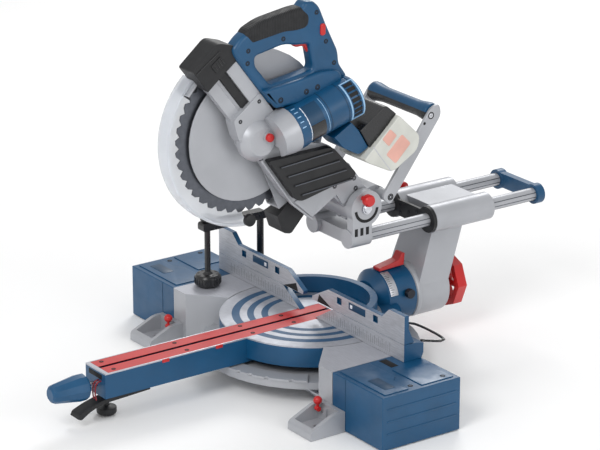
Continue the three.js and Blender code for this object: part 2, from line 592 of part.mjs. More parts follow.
function frontCap() {
  const hood = [[-408, -84, 4], [-411, -24, 8], [-384, -4, 8], [-366, -6, 4], [-363.3, -84]];
  const over = prismX(hood, 1, 42);
  const clearance = rod('x', [0, BLADE.y, BLADE.z], GUARD.outer + 2, -20, 17, 48);
  const strip = prismX([[-372, -54.6], [-372, -40.4], [-292.3, -40.4], [-292.3, -54.6]], 20, 36);
  return join(cut(over, clearance), strip);
}

function motorHousing() {
  const { x, r, from, to } = MOTOR;
  const barrel = motorTurned([[0, from], [r + 1, from], [r + 1, from + 16], [r, from + 20], [r, to],
    [0, to]], 32);
  return join(barrel, prismX(SHOE, x - 24, x + 24));
}

function motorEndCap() {
  const { r, to } = MOTOR;
  return motorTurned([[0, to + GAP], [r, to + GAP], [r, to + 8], [r - 8, to + 13], [0, to + 13]], 32);
}

// The dock's sliding face leans by `slope`; its rail stands out, and the pack slides off sideways.
const DOCK = { y: -92, z: 58, slope: -0.09, rail: 7, low: 74, high: 110, half: 25 };
const dockEdge = (z) => DOCK.y + DOCK.slope * (z - DOCK.z);

function batteryDock() {
  const { x } = MOTOR;
  const body = [[-128.5, 62.4], [dockEdge(58.4), 58.4], [dockEdge(128), 128], [-126, 122, 8]];
  const { low, high, rail, half } = DOCK;
  const bar = [[-102, low], [dockEdge(low) + rail, low], [dockEdge(high) + rail, high], [-104, high]];
  return join(prismX(body, x - 27, x + 27), prismX(bar, x - half, x + half));
}

function batteryPack() {
  const { x } = MOTOR;
  const shell = [[-100, 38, 4], [-84, 36, 8], [-32, 62, 10], [-25, 118, 10], [-40, 136, 10],
    [-106, 126, 4]];
  const { low, high, rail, half } = DOCK;
  const behind = (z0, z1, proud) => [[-150, z0], [dockEdge(z0) + proud, z0],
    [dockEdge(z1) + proud, z1], [-150, z1]];
  const dock = prismX(behind(0, 160, GAP), x - 60, x + 60);
  const groove = prismX(behind(low - GAP, high + GAP, rail + GAP), x - 60, x + half + GAP);
  return cut(prismX(shell, x - 36, x + 36), dock, groove);
}

function handleShell() {
  const { left, right } = HANDLE;
  const outer = [[-373, -17.5, 5], [-386, -14, 6], [-390, 9, 20], [-383, 51, 20], [-354, 104, 12],
    [-346, 116, 4], [-348.5, 127, 5], [-337, 139, 5], [-322, 142, 8], [-290, 134, 10], [-239, 124, 8],
    [-221, 113, 6], [-194, 112, 5], [-200, 66, 10], [-229, 16, 8], [-266, -17.5, 4]];
  const hole = [[-335, 0, 8], [-347, 9, 6], [-322, 59, 12], [-305, 73, 5], [-289, 91, 6],
    [-256, 75, 8], [-252, 69, 6], [-290, 1, 8]];
  const body = cut(prismX(outer, left, right), prismX(hole, left - 1, right + 1));
  const cap = prismX([[-420, -90], [-362, -90], [-362, -3.6], [-420, -3.6]], left - 1, right + 1);
  const grip = prismX(GRIP, left + 2, right + 1);
  const trigger = prismX(TRIGGER_SLOT, 29, 41);
  const button = rod('x', [0, LOCK_OFF.y, LOCK_OFF.z], 5 + GAP, right - 10, right + 1, 16);
  return cut(body, motorSpace(0.4), cap, grip, trigger, button);
}

const GRIP = [[-402, 30], [-374, 16], [-352, 28, 6], [-326, 74, 8], [-318, 86], [-330, 132],
  [-360, 150]];

function handleGrip() {
  const { left, right } = HANDLE;
  const inset = [[-384, 36, 5], [-371, 23, 4], [-354, 32, 6], [-328, 77, 8], [-320.5, 88, 4],
    [-332, 126, 6], [-347, 113, 8], [-356, 101, 8], [-381, 51, 16]];
  return prismX(inset, left + 2 + GAP, right + 1.5);
}

const TRIGGER_SLOT = [[-314, 84], [-298, 64], [-280, 72], [-256, 84], [-258, 100], [-280, 118],
  [-292, 114]];

function triggerLever() {
  const blade = [[-302, 80], [-296, 70, 3], [-284, 84, 3], [-268, 88, 4], [-264, 96, 3], [-276, 108]];
  return prismX(blade, 30, 40);
}

const LOCK_OFF = { y: -290, z: 124 };

function lockOffButton() {
  return turned('x', [0, LOCK_OFF.y, LOCK_OFF.z], [[0, 43], [5, 43], [5, 50.5], [4, 52], [0, 52]], 16);
}

function dustChute() {
  const side = [[-86, -30], [-62, -30], [-54, -72], [-47, -112, 5], [-60, -122, 5], [-90, -112],
    [-96, -60]];
  const clearance = rod('x', [0, BLADE.y, BLADE.z], GUARD.outer + 1.5, -30, 19, 48);
  return cut(prismX(side, -19, ARM_PLATE.left - GAP), clearance);
}

function carryGrip() {
  const { topY, topZ, left, right } = CARRY;
  const along = [[0, left + 6 + GAP], [15, left + 6 + GAP], [16, left + 14], [13, -60], [13, 30],
    [16, right - 8], [15, right - GAP], [0, right - GAP]];
  return turned('x', [0, topY - 2, topZ - 4], along, 18);
}

function carryArm(side) {
  const { y, z, topY, topZ, left, right } = CARRY;
  const [x0, x1] = side > 0 ? [right, right + 6] : [left, left + 6];
  return prismX([[y - 12, z - 12, 8], [y + 10, z - 9, 8], [topY + 10, topZ + 6, 10],
    [topY - 8, topZ + 14, 10], [topY - 14, topZ - 2, 8]], x0, x1);
}

const SPRING = { turns: 3, r: 14, wire: 1.8, start: 66, end: 84 };

function returnSpring() {
  const { turns, r, wire, start, end } = SPRING;
  const perTurn = 10;
  const points = Array.from({ length: turns * perTurn + 1 }, (_, i) => {
    const a = (2 * Math.PI * i) / perTurn;
    return [-start - ((end - start - 2) * i) / (turns * perTurn), r * Math.cos(a), r * Math.sin(a)];
  });
  return bentBar(points, wire, turns * perTurn, 5);
}

// ---------- blade and lower guard ----------
function sawBlade() {
  const { r, teeth, tooth, thick } = BLADE;
  const profile = [];
  for (let i = 0; i < teeth; i += 1) {
    const step = 360 / teeth;
    profile.push(bladePoint(r - tooth, i * step), bladePoint(r, i * step + 2.4),
      bladePoint(r - 1, i * step + 5.6));
  }
  const disc = prismX(profile, -thick / 2, thick / 2);
  return cut(disc, rod('x', [0, BLADE.y, BLADE.z], 8 + GAP, -5, 5, 20));
}

function arborShaft() {
  const near = -BLADE.thick / 2 - GAP;
  const clampFlange = rod('x', [0, BLADE.y, BLADE.z], 13, BLADE.thick / 2 + GAP, 4.6, 20);
  const flange = rod('x', [0, BLADE.y, BLADE.z], 13, near - 4, near, 20);
  const head = rod('x', [0, BLADE.y, BLADE.z], 8, near - 10, near - 3.9, 6);
  const shaft = rod('x', [0, BLADE.y, BLADE.z], 8, near - 1, 39, 20);
  const journal = rod('x', [0, BLADE.y, BLADE.z], 9, 4.5, 39, 20);
  return join(clampFlange, flange, head, shaft, journal);
}

function lowerGuard() {
  const { outer, inner, left, right, from, to } = GUARD;
  const side = bladeSector(20, outer, from, to, left, left + 2.5, 20);
  const rim = bladeSector(inner, outer, from, to, left, right, 20);
  const lip = bladeSector(143, outer, from, to, right - 2, right, 20);
  const lug = bladeSector(126, outer, to - 9, to, right - 2, right, 2);
  const hub = tube('x', [0, BLADE.y, BLADE.z], 22.2, 30, left, left + 4, 24);
  const bore = rod('x', [0, BLADE.y, BLADE.z], 22.1, left - 1, left + 6, 24);
  return cut(join(side, rim, lip, lug, hub), bore);
}

function guardRoller() {
  const [y, z] = bladePoint(138, GUARD.to - 4);
  return turned('x', [0, y, z], [[0, GUARD.right + GAP], [10, GUARD.right + GAP], [10, 18], [4, 20],
    [0, 20]], 16);
}

// ---------- assembly ----------
const base = new THREE.Group();
base.add(part('base_casting', baseCasting(), CAST));
base.add(part('detent_plate', detentPlate(), STEEL));
base.add(part('clamp_post', clampPost(), BLACK), part('clamp_screw', clampScrew(), BLACK));
base.add(part('fixed_fence', fixedFence(), CAST), part('rear_wire_bracket', rearWireBracket(), BLACK));
for (const [name, side] of SIDES) {
  base.add(part(`sliding_fence_${name}`, slidingFence(side), CAST));
  base.add(part(`extension_cover_${name}`, extensionCover(side), BLUE));
  base.add(part(`extension_bar_${name}`, extensionBar(side), STEEL));
  base.add(part(`extension_lever_${name}`, extensionLever(side), RED));
  base.add(part(`kerf_insert_${name}`, kerfInsert(side), RED));
  base.add(part(`rail_${name}`, railBar(side), STEEL));
}
base.add(part('turntable_casting', turntableCasting(), BLUE));
base.add(part('mitre_lock_knob', mitreLockKnob(), BLUE));
base.add(part('mitre_lock_spindle', mitreLockSpindle(), STEEL));
base.add(part('detent_lever', detentLever(), BLACK));
base.add(part('arm_foot', armFoot(), BLACK));
base.add(part('bevel_stop_bolt', bevelStopBolt(), BLACK));
base.add(part('bevel_range_lever', bevelRangeLever(), RED));
base.add(part('tilt_column', tiltColumn(), CAST));
base.add(part('rail_seal_plate', railSealPlate(), BLACK));
base.add(part('slide_lock_knob', slideLockKnob(), RED));
base.add(part('bevel_lock_wheel', bevelLockWheel(), RED));
base.add(part('bevel_tie_bolt', bevelTieBolt(), STEEL));
base.add(part('rail_end_cap', railEndCap(), BLUE));
base.add(part('carriage_bracket', carriageBracket(), CAST));
base.add(part('pivot_shaft', pivotShaft(), STEEL));
base.add(part('head_lock_pin', headLockPin(), RED));

const head = new THREE.Group();
head.position.set(0, PIVOT.y, PIVOT.z);
head.rotation.x = -RAISE;
head.add(part('head_arm', headArm(), CAST));
head.add(part('arm_cover', armCover(), BLACK));
head.add(part('gear_housing', gearHousing(), CAST));
head.add(part('spindle_lock_button', spindleLockButton(), RED));
head.add(part('upper_guard', upperGuard(), CAST));
head.add(part('guard_side_plate', guardSidePlate(), CAST));
head.add(part('front_cap', frontCap(), BLACK));
head.add(part('motor_housing', motorHousing(), BLUE));
head.add(part('motor_end_cap', motorEndCap(), BLUE));
head.add(part('battery_dock', batteryDock(), BLACK));
head.add(part('battery_pack', batteryPack(), PALE));
head.add(part('handle_shell', handleShell(), BLUE));
head.add(part('handle_grip', handleGrip(), BLACK));
head.add(part('trigger', triggerLever(), RED));
head.add(part('lock_off_button', lockOffButton(), RED));
head.add(part('dust_chute', dustChute(), BLACK));
head.add(part('carry_grip', carryGrip(), BLUE));
head.add(part('return_spring', returnSpring(), DARK_STEEL));
head.add(part('saw_blade', sawBlade(), DARK_STEEL));
head.add(part('arbor_shaft', arborShaft(), STEEL));
head.add(part('lower_guard', lowerGuard(), CLEAR));
head.add(part('guard_roller', guardRoller(), BLACK));
for (const [name, side] of SIDES) head.add(part(`carry_arm_${name}`, carryArm(side), CAST));

const saw = new THREE.Group();
saw.add(base, head);
saw.position.set(0, REAR_OF_ORIGIN, TABLE_HEIGHT);

export default saw;
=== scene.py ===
"""Looks for the sliding mitre saw: finishes for the CAD nodes, and detail pieces that ride on them.

Row frame: metres, +X to the operator's right, +Y to the rear, +Z up, bench at z = 0. Detail is in
millimetres, in one of five spaces. ROW is the row frame itself. TABLE starts at the blade plane,
fence face and table top. HEAD is the saw head lying level, from its pivot; its matrix turns it up
to the raised rest position. MOTOR_SPACE and BLADE_SPACE have the motor's and the blade's axis as +Z.
"""
import json
import math
import bmesh
import bpy
from mathutils import Matrix, Vector


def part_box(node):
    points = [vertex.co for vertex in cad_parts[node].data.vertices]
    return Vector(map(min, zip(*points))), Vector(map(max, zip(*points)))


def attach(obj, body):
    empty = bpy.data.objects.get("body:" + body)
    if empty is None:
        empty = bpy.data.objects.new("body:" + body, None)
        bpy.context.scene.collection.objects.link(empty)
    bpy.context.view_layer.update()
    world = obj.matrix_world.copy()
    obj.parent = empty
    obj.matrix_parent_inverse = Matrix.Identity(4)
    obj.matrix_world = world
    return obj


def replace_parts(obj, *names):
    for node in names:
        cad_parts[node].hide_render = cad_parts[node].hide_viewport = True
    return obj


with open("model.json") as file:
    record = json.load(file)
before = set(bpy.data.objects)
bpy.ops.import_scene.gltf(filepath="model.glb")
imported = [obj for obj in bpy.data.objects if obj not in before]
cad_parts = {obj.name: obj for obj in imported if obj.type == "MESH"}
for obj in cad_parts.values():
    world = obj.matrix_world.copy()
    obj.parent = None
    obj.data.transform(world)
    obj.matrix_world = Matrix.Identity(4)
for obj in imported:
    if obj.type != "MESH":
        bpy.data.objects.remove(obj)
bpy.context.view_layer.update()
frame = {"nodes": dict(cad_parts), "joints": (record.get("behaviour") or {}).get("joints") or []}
NODES = frame["nodes"]
JOINT = {j["name"]: j for j in frame["joints"]}
MM = 0.001

PIVOT = Vector(JOINT["head_chop"]["pos_m"])
RAISE = math.radians(-JOINT["head_chop"]["range_deg"][0])
LEVEL_TO_REST = Matrix.Translation(PIVOT) @ Matrix.Rotation(-RAISE, 4, "X") @ Matrix.Scale(MM, 4)
BLADE = LEVEL_TO_REST.inverted() @ Vector(JOINT["blade_spin"]["pos_m"])
TABLE_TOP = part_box("base_casting")[1][2]
FENCE_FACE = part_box("fixed_fence")[0][1]
SIDES = (("left", -1), ("right", 1))


# ---------- colours and materials ----------
def linear(red, green, blue):
    def channel(v):
        v /= 255
        return v / 12.92 if v <= 0.04045 else ((v + 0.055) / 1.055) ** 2.4
    return (channel(red), channel(green), channel(blue), 1.0)


BLUE = linear(0, 72, 112)
DEEP_BLUE = linear(0, 56, 88)
CAST_GREY = linear(172, 174, 179)
MACHINED = linear(176, 178, 186)
BRIGHT = linear(212, 214, 220)
DARK = linear(96, 99, 106)
BLACK = linear(20, 21, 24)
SKY = linear(150, 190, 224)
RED = linear(190, 22, 22)
DARK_RED = linear(128, 22, 34)
PALE = linear(206, 207, 200)
SALMON = linear(226, 172, 158)
FROST = linear(232, 236, 242)
INK = linear(40, 44, 52)


class Graph:
    """A material's node tree, with short calls for the nodes used here."""

    def __init__(self, name):
        self.material = bpy.data.materials.new(name)
        self.material.use_nodes = True
        self.tree = self.material.node_tree
        self.shader = self.tree.nodes["Principled BSDF"]
        self.coords = self.tree.nodes.new("ShaderNodeTexCoord")
        self.place = self.coords.outputs["Object"]
        split = self.tree.nodes.new("ShaderNodeSeparateXYZ")
        self.tree.links.new(self.place, split.inputs[0])
        self.x, self.y, self.z = split.outputs
        facing = self.tree.nodes.new("ShaderNodeSeparateXYZ")
        self.tree.links.new(self.coords.outputs["Normal"], facing.inputs[0])
        self.nx, self.ny, self.nz = facing.outputs

    def feed(self, socket, value):
        if isinstance(value, bpy.types.NodeSocket):
            self.tree.links.new(value, socket)
        else:
            socket.default_value = value

    def math(self, operation, *values):
        node = self.tree.nodes.new("ShaderNodeMath")
        node.operation = operation
        for socket, value in zip(node.inputs, values):
            self.feed(socket, value)
        return node.outputs[0]

    def between(self, value, low, high):
        return self.math("MULTIPLY", self.math("GREATER_THAN", value, low),
                         self.math("LESS_THAN", value, high))

    def noise(self, scale, detail=3.0, stretch=(1, 1, 1)):
        node = self.tree.nodes.new("ShaderNodeTexNoise")
        mapping = self.tree.nodes.new("ShaderNodeMapping")
        mapping.inputs["Scale"].default_value = stretch
        self.tree.links.new(self.place, mapping.inputs["Vector"])
        self.tree.links.new(mapping.outputs[0], node.inputs["Vector"])
        node.inputs["Scale"].default_value = scale
        node.inputs["Detail"].default_value = detail
        return node.outputs["Fac"]

    def spread(self, value, low, high):
        node = self.tree.nodes.new("ShaderNodeMapRange")
        self.feed(node.inputs["Value"], value)
        node.inputs["From Min"].default_value = 0.3
        node.inputs["From Max"].default_value = 0.7
        node.inputs["To Min"].default_value = low
        node.inputs["To Max"].default_value = high
        return node.outputs["Result"]

    def mix(self, amount, first, second):
        node = self.tree.nodes.new("ShaderNodeMix")
        node.data_type = "RGBA"
        self.feed(node.inputs["Factor"], amount)
        self.feed(node.inputs[6], first)
        self.feed(node.inputs[7], second)
        return node.outputs[2]

    def shade(self, colour, vary, scale, stretch=(1, 1, 1)):
        """The colour, lighter and darker by `vary` in soft patches."""
        low = tuple(max(c * (1 - vary), 0) for c in colour[:3]) + (1,)
        high = tuple(min(c * (1 + vary) + 0.01 * vary, 1) for c in colour[:3]) + (1,)
        return self.mix(self.spread(self.noise(scale, 3, stretch), 0, 1), low, high)

    def bump(self, height, strength, distance):
        node = self.tree.nodes.new("ShaderNodeBump")
        node.inputs["Strength"].default_value = strength
        node.inputs["Distance"].default_value = distance
        self.feed(node.inputs["Height"], height)
        previous = self.shader.inputs["Normal"].links
        if previous:
            self.tree.links.new(previous[0].from_socket, node.inputs["Normal"])
        self.tree.links.new(node.outputs[0], self.shader.inputs["Normal"])

    def surface(self, colour, metallic=0.0):
        self.feed(self.shader.inputs["Base Color"], colour)
        self.feed(self.shader.inputs["Metallic"], metallic)

    def rough(self, value, vary, scale, stretch=(1, 1, 1)):
        self.feed(self.shader.inputs["Roughness"],
                  self.spread(self.noise(scale, 2, stretch), value - vary, value + vary))


def moulded(name, colour, rough=0.42, grain=0.25, coat=0.0):
    """Injection-moulded plastic: faint mottling, fine spark-eroded grain, uneven gloss."""
    g = Graph(name)
    g.surface(g.shade(colour, 0.09, 22))
    g.rough(rough, 0.07, 60)
    g.bump(g.noise(1500, 2), grain, 0.00008)
    g.shader.inputs["Coat Weight"].default_value = coat
    g.shader.inputs["Coat Roughness"].default_value = 0.25
    return g.material


def cast_paint(name, colour, top=None):
    """Painted casting with orange peel; where `top` is given, its machined top faces show bare."""
    sheen = 0.25
    g = Graph(name)
    body = g.shade(colour, 0.06, 14)
    if top is None:
        g.surface(body, sheen)
    else:
        bare = g.math("MULTIPLY", g.math("GREATER_THAN", g.nz, 0.8),
                      g.math("GREATER_THAN", g.z, top - 0.0006))
        g.surface(g.mix(bare, body, g.shade(MACHINED, 0.08, 60, (1, 12, 1))), sheen)
    g.rough(0.4, 0.06, 40)
    g.bump(g.noise(420, 3), 0.22, 0.00015)
    return g.material


def ground_metal(name, colour, rough, along=(1, 1, 1), metallic=1.0):
    """Turned, ground or brushed metal, its scratches stretched along one axis."""
    g = Graph(name)
    g.surface(g.shade(colour, 0.1, 120, along), metallic)
    g.rough(rough, 0.08, 260, along)
    g.bump(g.noise(900, 2, along), 0.12, 0.00004)
    return g.material


def ribbed_rubber(name, colour, direction, pitch):
    """Soft grip, dull and unevenly worn: fine ribs across `direction`, `pitch` millimetres apart."""
    g = Graph(name)
    dot = g.tree.nodes.new("ShaderNodeVectorMath")
    dot.operation = "DOT_PRODUCT"
    g.tree.links.new(g.place, dot.inputs[0])
    dot.inputs[1].default_value = direction
    wave = g.math("SINE", g.math("MULTIPLY", dot.outputs["Value"], 2 * math.pi / (pitch * MM)))
    g.surface(g.shade(colour, 0.2, 40))
    g.rough(0.62, 0.08, 90)
    g.bump(wave, 0.5, 0.0004)
    g.bump(g.noise(1400, 2), 0.3, 0.0001)
    return g.material


def turntable_finish():
    """Turntable: blue paint, its top turned bare apart from three painted rings and the hub."""
    g = Graph("turntable_finish")
    top = g.math("GREATER_THAN", g.z, TABLE_TOP - 0.0024)
    centre_y = JOINT["mitre_swing"]["pos_m"][1]
    radius = g.math("SQRT", g.math("ADD", g.math("MULTIPLY", g.x, g.x), g.math(
        "POWER", g.math("SUBTRACT", g.y, centre_y), 2.0)))
    bands = 0.0
    for inner, outer in ((0.069, 0.080), (0.092, 0.103), (0.115, 0.128)):
        bands = g.math("ADD", g.between(radius, inner, outer), bands)
    flat = g.math("MULTIPLY", top, g.math("GREATER_THAN", g.nz, 0.8))
    painted = g.math("MULTIPLY", flat, bands)
    bare = g.math("MULTIPLY", top, g.math("SUBTRACT", 1.0, painted))
    hub = g.math("GREATER_THAN", g.y, 0.135)
    bare = g.math("MULTIPLY", bare, g.math("SUBTRACT", 1.0, hub))
    blue = g.shade(BLUE, 0.09, 18)
    rings = g.math("SINE", g.math("MULTIPLY", radius, 9000.0))
    steel = g.mix(g.spread(g.noise(90), 0, 1), MACHINED, linear(190, 193, 200))
    g.surface(g.mix(bare, blue, steel), g.math("MULTIPLY", bare, 0.55))
    g.rough(0.36, 0.06, 50)
    g.bump(g.math("MULTIPLY", rings, bare), 0.05, 0.00003)
    g.bump(g.noise(420, 3), 0.18, 0.00012)
    return g.material


def fence_finish(name, tick_low, tick_high):
    """Fence: machined grey front face with scale ticks in a band, blue paint elsewhere."""
    g = Graph(name)
    front = g.math("MULTIPLY", g.math("LESS_THAN", g.ny, -0.7),
                   g.math("LESS_THAN", g.y, FENCE_FACE + 0.0015))
    at = g.math("ABSOLUTE", g.x)
    five = g.math("LESS_THAN", g.math("FRACT", g.math("DIVIDE", at, 0.005)), 0.13)
    ten = g.math("LESS_THAN", g.math("FRACT", g.math("DIVIDE", at, 0.010)), 0.08)
    short = g.math("MULTIPLY", five, g.between(g.z, tick_low, tick_high))
    tall = g.math("MULTIPLY", ten, g.between(g.z, tick_low, tick_high + 0.004))
    ink = g.math("MULTIPLY", g.math("MAXIMUM", short, tall), g.between(at, 0.045, 0.225))
    steel = g.shade(linear(188, 190, 196), 0.12, 70, (1, 1, 10))
    face = g.mix(g.math("MULTIPLY", ink, 0.75), steel, INK)
    g.surface(g.mix(front, g.shade(BLUE, 0.08, 20), face), g.math("MULTIPLY", front, 0.45))
    g.rough(0.4, 0.07, 80)
    g.bump(g.noise(500, 3, (1, 1, 6)), 0.15, 0.0001)
    return g.material


def carry_finish():
    """Carry grip: blue shell above, soft black pad below, split along its length."""
    g = Graph("carry_grip_finish")
    low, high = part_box("carry_grip")
    middle_y, middle_z = (low[1] + high[1]) / 2, (low[2] + high[2]) / 2
    above = g.math("ADD", g.math("SUBTRACT", g.z, middle_z),
                   g.math("MULTIPLY", g.math("SUBTRACT", g.y, middle_y), 0.35))
    pad = g.math("LESS_THAN", above, -0.001)
    g.surface(g.mix(pad, g.shade(BLUE, 0.08, 22), g.shade(BLACK, 0.2, 40)))
    g.feed(g.shader.inputs["Roughness"], g.spread(g.noise(60, 2), 0.36, 0.5))
    ribs = g.math("MULTIPLY", pad, g.math("SINE", g.math("MULTIPLY", g.x, 2600.0)))
    g.bump(ribs, 0.35, 0.0003)
    g.bump(g.noise(1500, 2), 0.25, 0.00008)
    return g.material


def frosted():
    g = Graph("frosted_guard")
    g.surface(g.shade(FROST, 0.03, 30))
    g.rough(0.34, 0.06, 50)
    g.bump(g.noise(900, 3), 0.2, 0.0001)
    g.shader.inputs["Transmission Weight"].default_value = 0.55
    g.shader.inputs["IOR"].default_value = 1.2
    g.shader.inputs["Alpha"].default_value = 0.62
    return g.material


M = {
    "blue": moulded("blue_moulding", BLUE, 0.4, 0.25, 0.1),
    "deep_blue": moulded("deep_blue_moulding", DEEP_BLUE, 0.42),
    "black": moulded("black_moulding", BLACK, 0.5, 0.35),
    "gloss_black": moulded("gloss_black_moulding", BLACK, 0.28, 0.1, 0.3),
    "red": moulded("red_moulding", RED, 0.36, 0.15, 0.2),
    "sky": moulded("pale_blue_trim", SKY, 0.4, 0.1),
    "dark_red": moulded("dark_red_wire", DARK_RED, 0.35, 0.1, 0.2),
    "pale": moulded("pale_moulding", PALE, 0.5, 0.25),
    "salmon": moulded("salmon_moulding", SALMON, 0.5, 0.2),
    "cast": cast_paint("cast_grey", CAST_GREY),
    "cast_top": cast_paint("cast_grey_machined_top", CAST_GREY, top=TABLE_TOP),
    "steel": ground_metal("bright_steel", BRIGHT, 0.26),
    "plate": ground_metal("blank_plate", linear(196, 198, 204), 0.34, (1, 8, 8), 0.7),
    "dark_steel": ground_metal("dark_steel", DARK, 0.36, metallic=0.8),
    "screw": ground_metal("blackened_screw", linear(48, 50, 56), 0.38, metallic=0.7),
    "enamel": moulded("black_enamel", BLACK, 0.3, 0.08, 0.3),
    # Near-black painted shade for slots, holes, recesses and gaps; also the real ink of the bevel
    # scale's ticks.
    "hole": moulded("shadowed_recess", linear(12, 13, 16), 0.7, 0.1),
    "turntable": turntable_finish(),
    "fence_low": fence_finish("fixed_fence_finish", TABLE_TOP + 0.006, TABLE_TOP + 0.017),
    "fence_high": fence_finish("sliding_fence_finish", 9.0, 9.1),
    "carry": carry_finish(),
    "frost": frosted(),
    "frost_edge": moulded("frosted_edge", linear(226, 230, 238), 0.3, 0.1, 0.2),
}


def head_direction(y, z):
    """A level direction in the head's (y, z) plane, as it lies at rest."""
    v = LEVEL_TO_REST.to_3x3() @ Vector((0, y, z))
    return tuple(v.normalized())


M["grip"] = ribbed_rubber("ribbed_grip", BLACK, head_direction(0.62, 0.78), 3.0)


# ---------- finishing the CAD nodes ----------
def finish_node(name, material, bevel, segments=2):
    node = NODES[name]
    node.data.materials.clear()
    node.data.materials.append(M[material])
    for polygon in node.data.polygons:
        polygon.use_smooth = True
    weld = node.modifiers.new("weld", "WELD")
    weld.merge_threshold = 0.00001
    flat = node.modifiers.new("merge_flat_faces", "DECIMATE")
    flat.decimate_type = "DISSOLVE"
    flat.angle_limit = math.radians(0.6)
    if bevel:
        edge = node.modifiers.new("edges", "BEVEL")
        edge.width = bevel * MM
        edge.segments = segments
        edge.limit_method = "ANGLE"
        edge.angle_limit = math.radians(32)
        edge.use_clamp_overlap = True
        edge.harden_normals = True
    even = node.modifiers.new("even_normals", "WEIGHTED_NORMAL")
    even.keep_sharp = True


# ---------- making pieces ----------
def piece(name, mesh, material, body, smooth=40):
    """A detail piece on its body; edges sharper than `smooth` degrees stay crisp."""
    o = bpy.data.objects.new(name, mesh)
    bpy.context.scene.collection.objects.link(o)
    o.data.materials.append(M[material])
    for polygon in o.data.polygons:
        polygon.use_smooth = True
    o.data.set_sharp_from_angle(angle=math.radians(smooth))
    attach(o, body)
    return o


def mesh_of(bm, name, matrix=None):
    if matrix is not None:
        bmesh.ops.transform(bm, matrix=matrix, verts=bm.verts)
    bmesh.ops.recalc_face_normals(bm, faces=bm.faces)
    mesh = bpy.data.meshes.new(name)
    bm.to_mesh(mesh)
    bm.free()
    return mesh


ROW = Matrix.Scale(MM, 4)


def rounded(points):
    """Corners [a, b] or [a, b, r] of a closed outline, with the rounded ones turned into curves."""
    steps = 5
    out = []
    count = len(points)
    for i, corner in enumerate(points):
        here = Vector(corner[:2])
        radius = corner[2] if len(corner) > 2 else 0
        if not radius:
            out.append(here)
            continue
        before = Vector(points[i - 1][:2]) - here
        after = Vector(points[(i + 1) % count][:2]) - here
        reach = min(radius, 0.48 * before.length, 0.48 * after.length)
        start = here + before.normalized() * reach
        end = here + after.normalized() * reach
        for k in range(steps + 1):
            t = k / steps
            out.append((1 - t) ** 2 * start + 2 * t * (1 - t) * here + t * t * end)
    return out


# How a slab's own (u, v, w) lie: w is the way it is extruded.
PLANES = {
    "x": Matrix(((0, 0, 1, 0), (1, 0, 0, 0), (0, 1, 0, 0), (0, 0, 0, 1))),
    "y": Matrix(((1, 0, 0, 0), (0, 0, 1, 0), (0, 1, 0, 0), (0, 0, 0, 1))),
    "z": Matrix.Identity(4),
}


def slab(name, loops, low, high, edge, axis="x", space=ROW, rounds=3):
    """A plate with rounded rims: outlines (the first outer, the others holes) from low to high."""
    curve = bpy.data.curves.new(name + "_outline", "CURVE")
    curve.dimensions = "2D"
    curve.fill_mode = "BOTH"
    edge = min(edge, (high - low) / 2 - 0.01)
    curve.extrude = (high - low) / 2 - edge
    curve.bevel_depth = edge
    curve.bevel_resolution = rounds
    curve.offset = -edge
    for loop in loops:
        corners = rounded(loop)
        spline = curve.splines.new("POLY")
        spline.points.add(len(corners) - 1)
        for point, corner in zip(spline.points, corners):
            point.co = (corner.x, corner.y, 0, 1)
        spline.use_cyclic_u = True
    holder = bpy.data.objects.new(name + "_curve", curve)
    bpy.context.scene.collection.objects.link(holder)
    evaluated = holder.evaluated_get(bpy.context.evaluated_depsgraph_get())
    mesh = bpy.data.meshes.new_from_object(evaluated)
    bpy.data.objects.remove(holder)
    bpy.data.curves.remove(curve)
    middle = Matrix.Translation((0, 0, (low + high) / 2))
    bm = bmesh.new()
    bm.from_mesh(mesh)
    bpy.data.meshes.remove(mesh)
    bmesh.ops.remove_doubles(bm, verts=bm.verts, dist=0.001)
    return mesh_of(bm, name, space @ PLANES[axis] @ middle)


def lathe(name, profile, matrix, count, span=360.0, start=0.0):
    """A profile of [radius, distance] turned about +Z of `matrix`.

    Over less than a full turn the profile is closed on itself and both ends are capped.
    """
    bm = bmesh.new()
    full = span >= 360
    stops = count if full else count + 1
    rings = []
    for i in range(stops):
        a = math.radians(start + span * i / count)
        rings.append([bm.verts.new((r * math.cos(a), r * math.sin(a), d)) for r, d in profile])
    sides = len(profile) - 1 if full else len(profile)
    for i in range(count):
        first, second = rings[i], rings[(i + 1) % stops]
        for k in range(sides):
            m = (k + 1) % len(profile)
            on_axis = profile[k][0] == 0 and profile[m][0] == 0
            if not on_axis:
                bm.faces.new([first[k], first[m], second[m], second[k]])
    if not full:
        bm.faces.new(rings[0])
        bm.faces.new(list(reversed(rings[-1])))
    bmesh.ops.remove_doubles(bm, verts=bm.verts, dist=0.0005)
    bmesh.ops.dissolve_degenerate(bm, edges=bm.edges, dist=0.0001)
    return mesh_of(bm, name, matrix)


def aim(at, direction, space=ROW):
    """A matrix whose +Z runs along `direction` from `at`, both given in `space`."""
    turn = Vector((0, 0, 1)).rotation_difference(Vector(direction).normalized()).to_matrix().to_4x4()
    return space @ Matrix.Translation(at) @ turn


def socket_screw(name, at, direction, body, r=3.2, space=ROW, head="screw"):
    """A sunk screw: a ring of painted shade for the dark counterbore, round a six-sided head with a
    six-sided socket.
    """
    rim, inner, key = r * 1.35, r, r * 0.48
    ring = [[inner * 1.02, 0.02], [inner * 1.05, 0.45], [rim, 0.35], [rim * 1.06, 0.02],
            [inner * 1.02, 0.02]]
    place = aim(at, direction, space)
    piece(name + "_seat", lathe(name + "_seat", ring, place, 20), "hole", body)
    cap = [[0, -0.5], [key, -0.5], [key, 0.25], [inner * 0.9, 0.3], [inner, 0.1], [inner, -0.6],
           [0, -0.6]]
    piece(name, lathe(name, cap, place, 6), head, body)


def hole_disc(name, at, direction, body, r, space=ROW):
    """A disc of painted shade for the dark mouth of a small hole, just proud of the face it opens in."""
    disc = [[0, 0.12], [r * 0.8, 0.12], [r, 0.048], [r, -0.3], [0, -0.3]]
    piece(name, lathe(name, disc, aim(at, direction, space), 18), "hole", body)


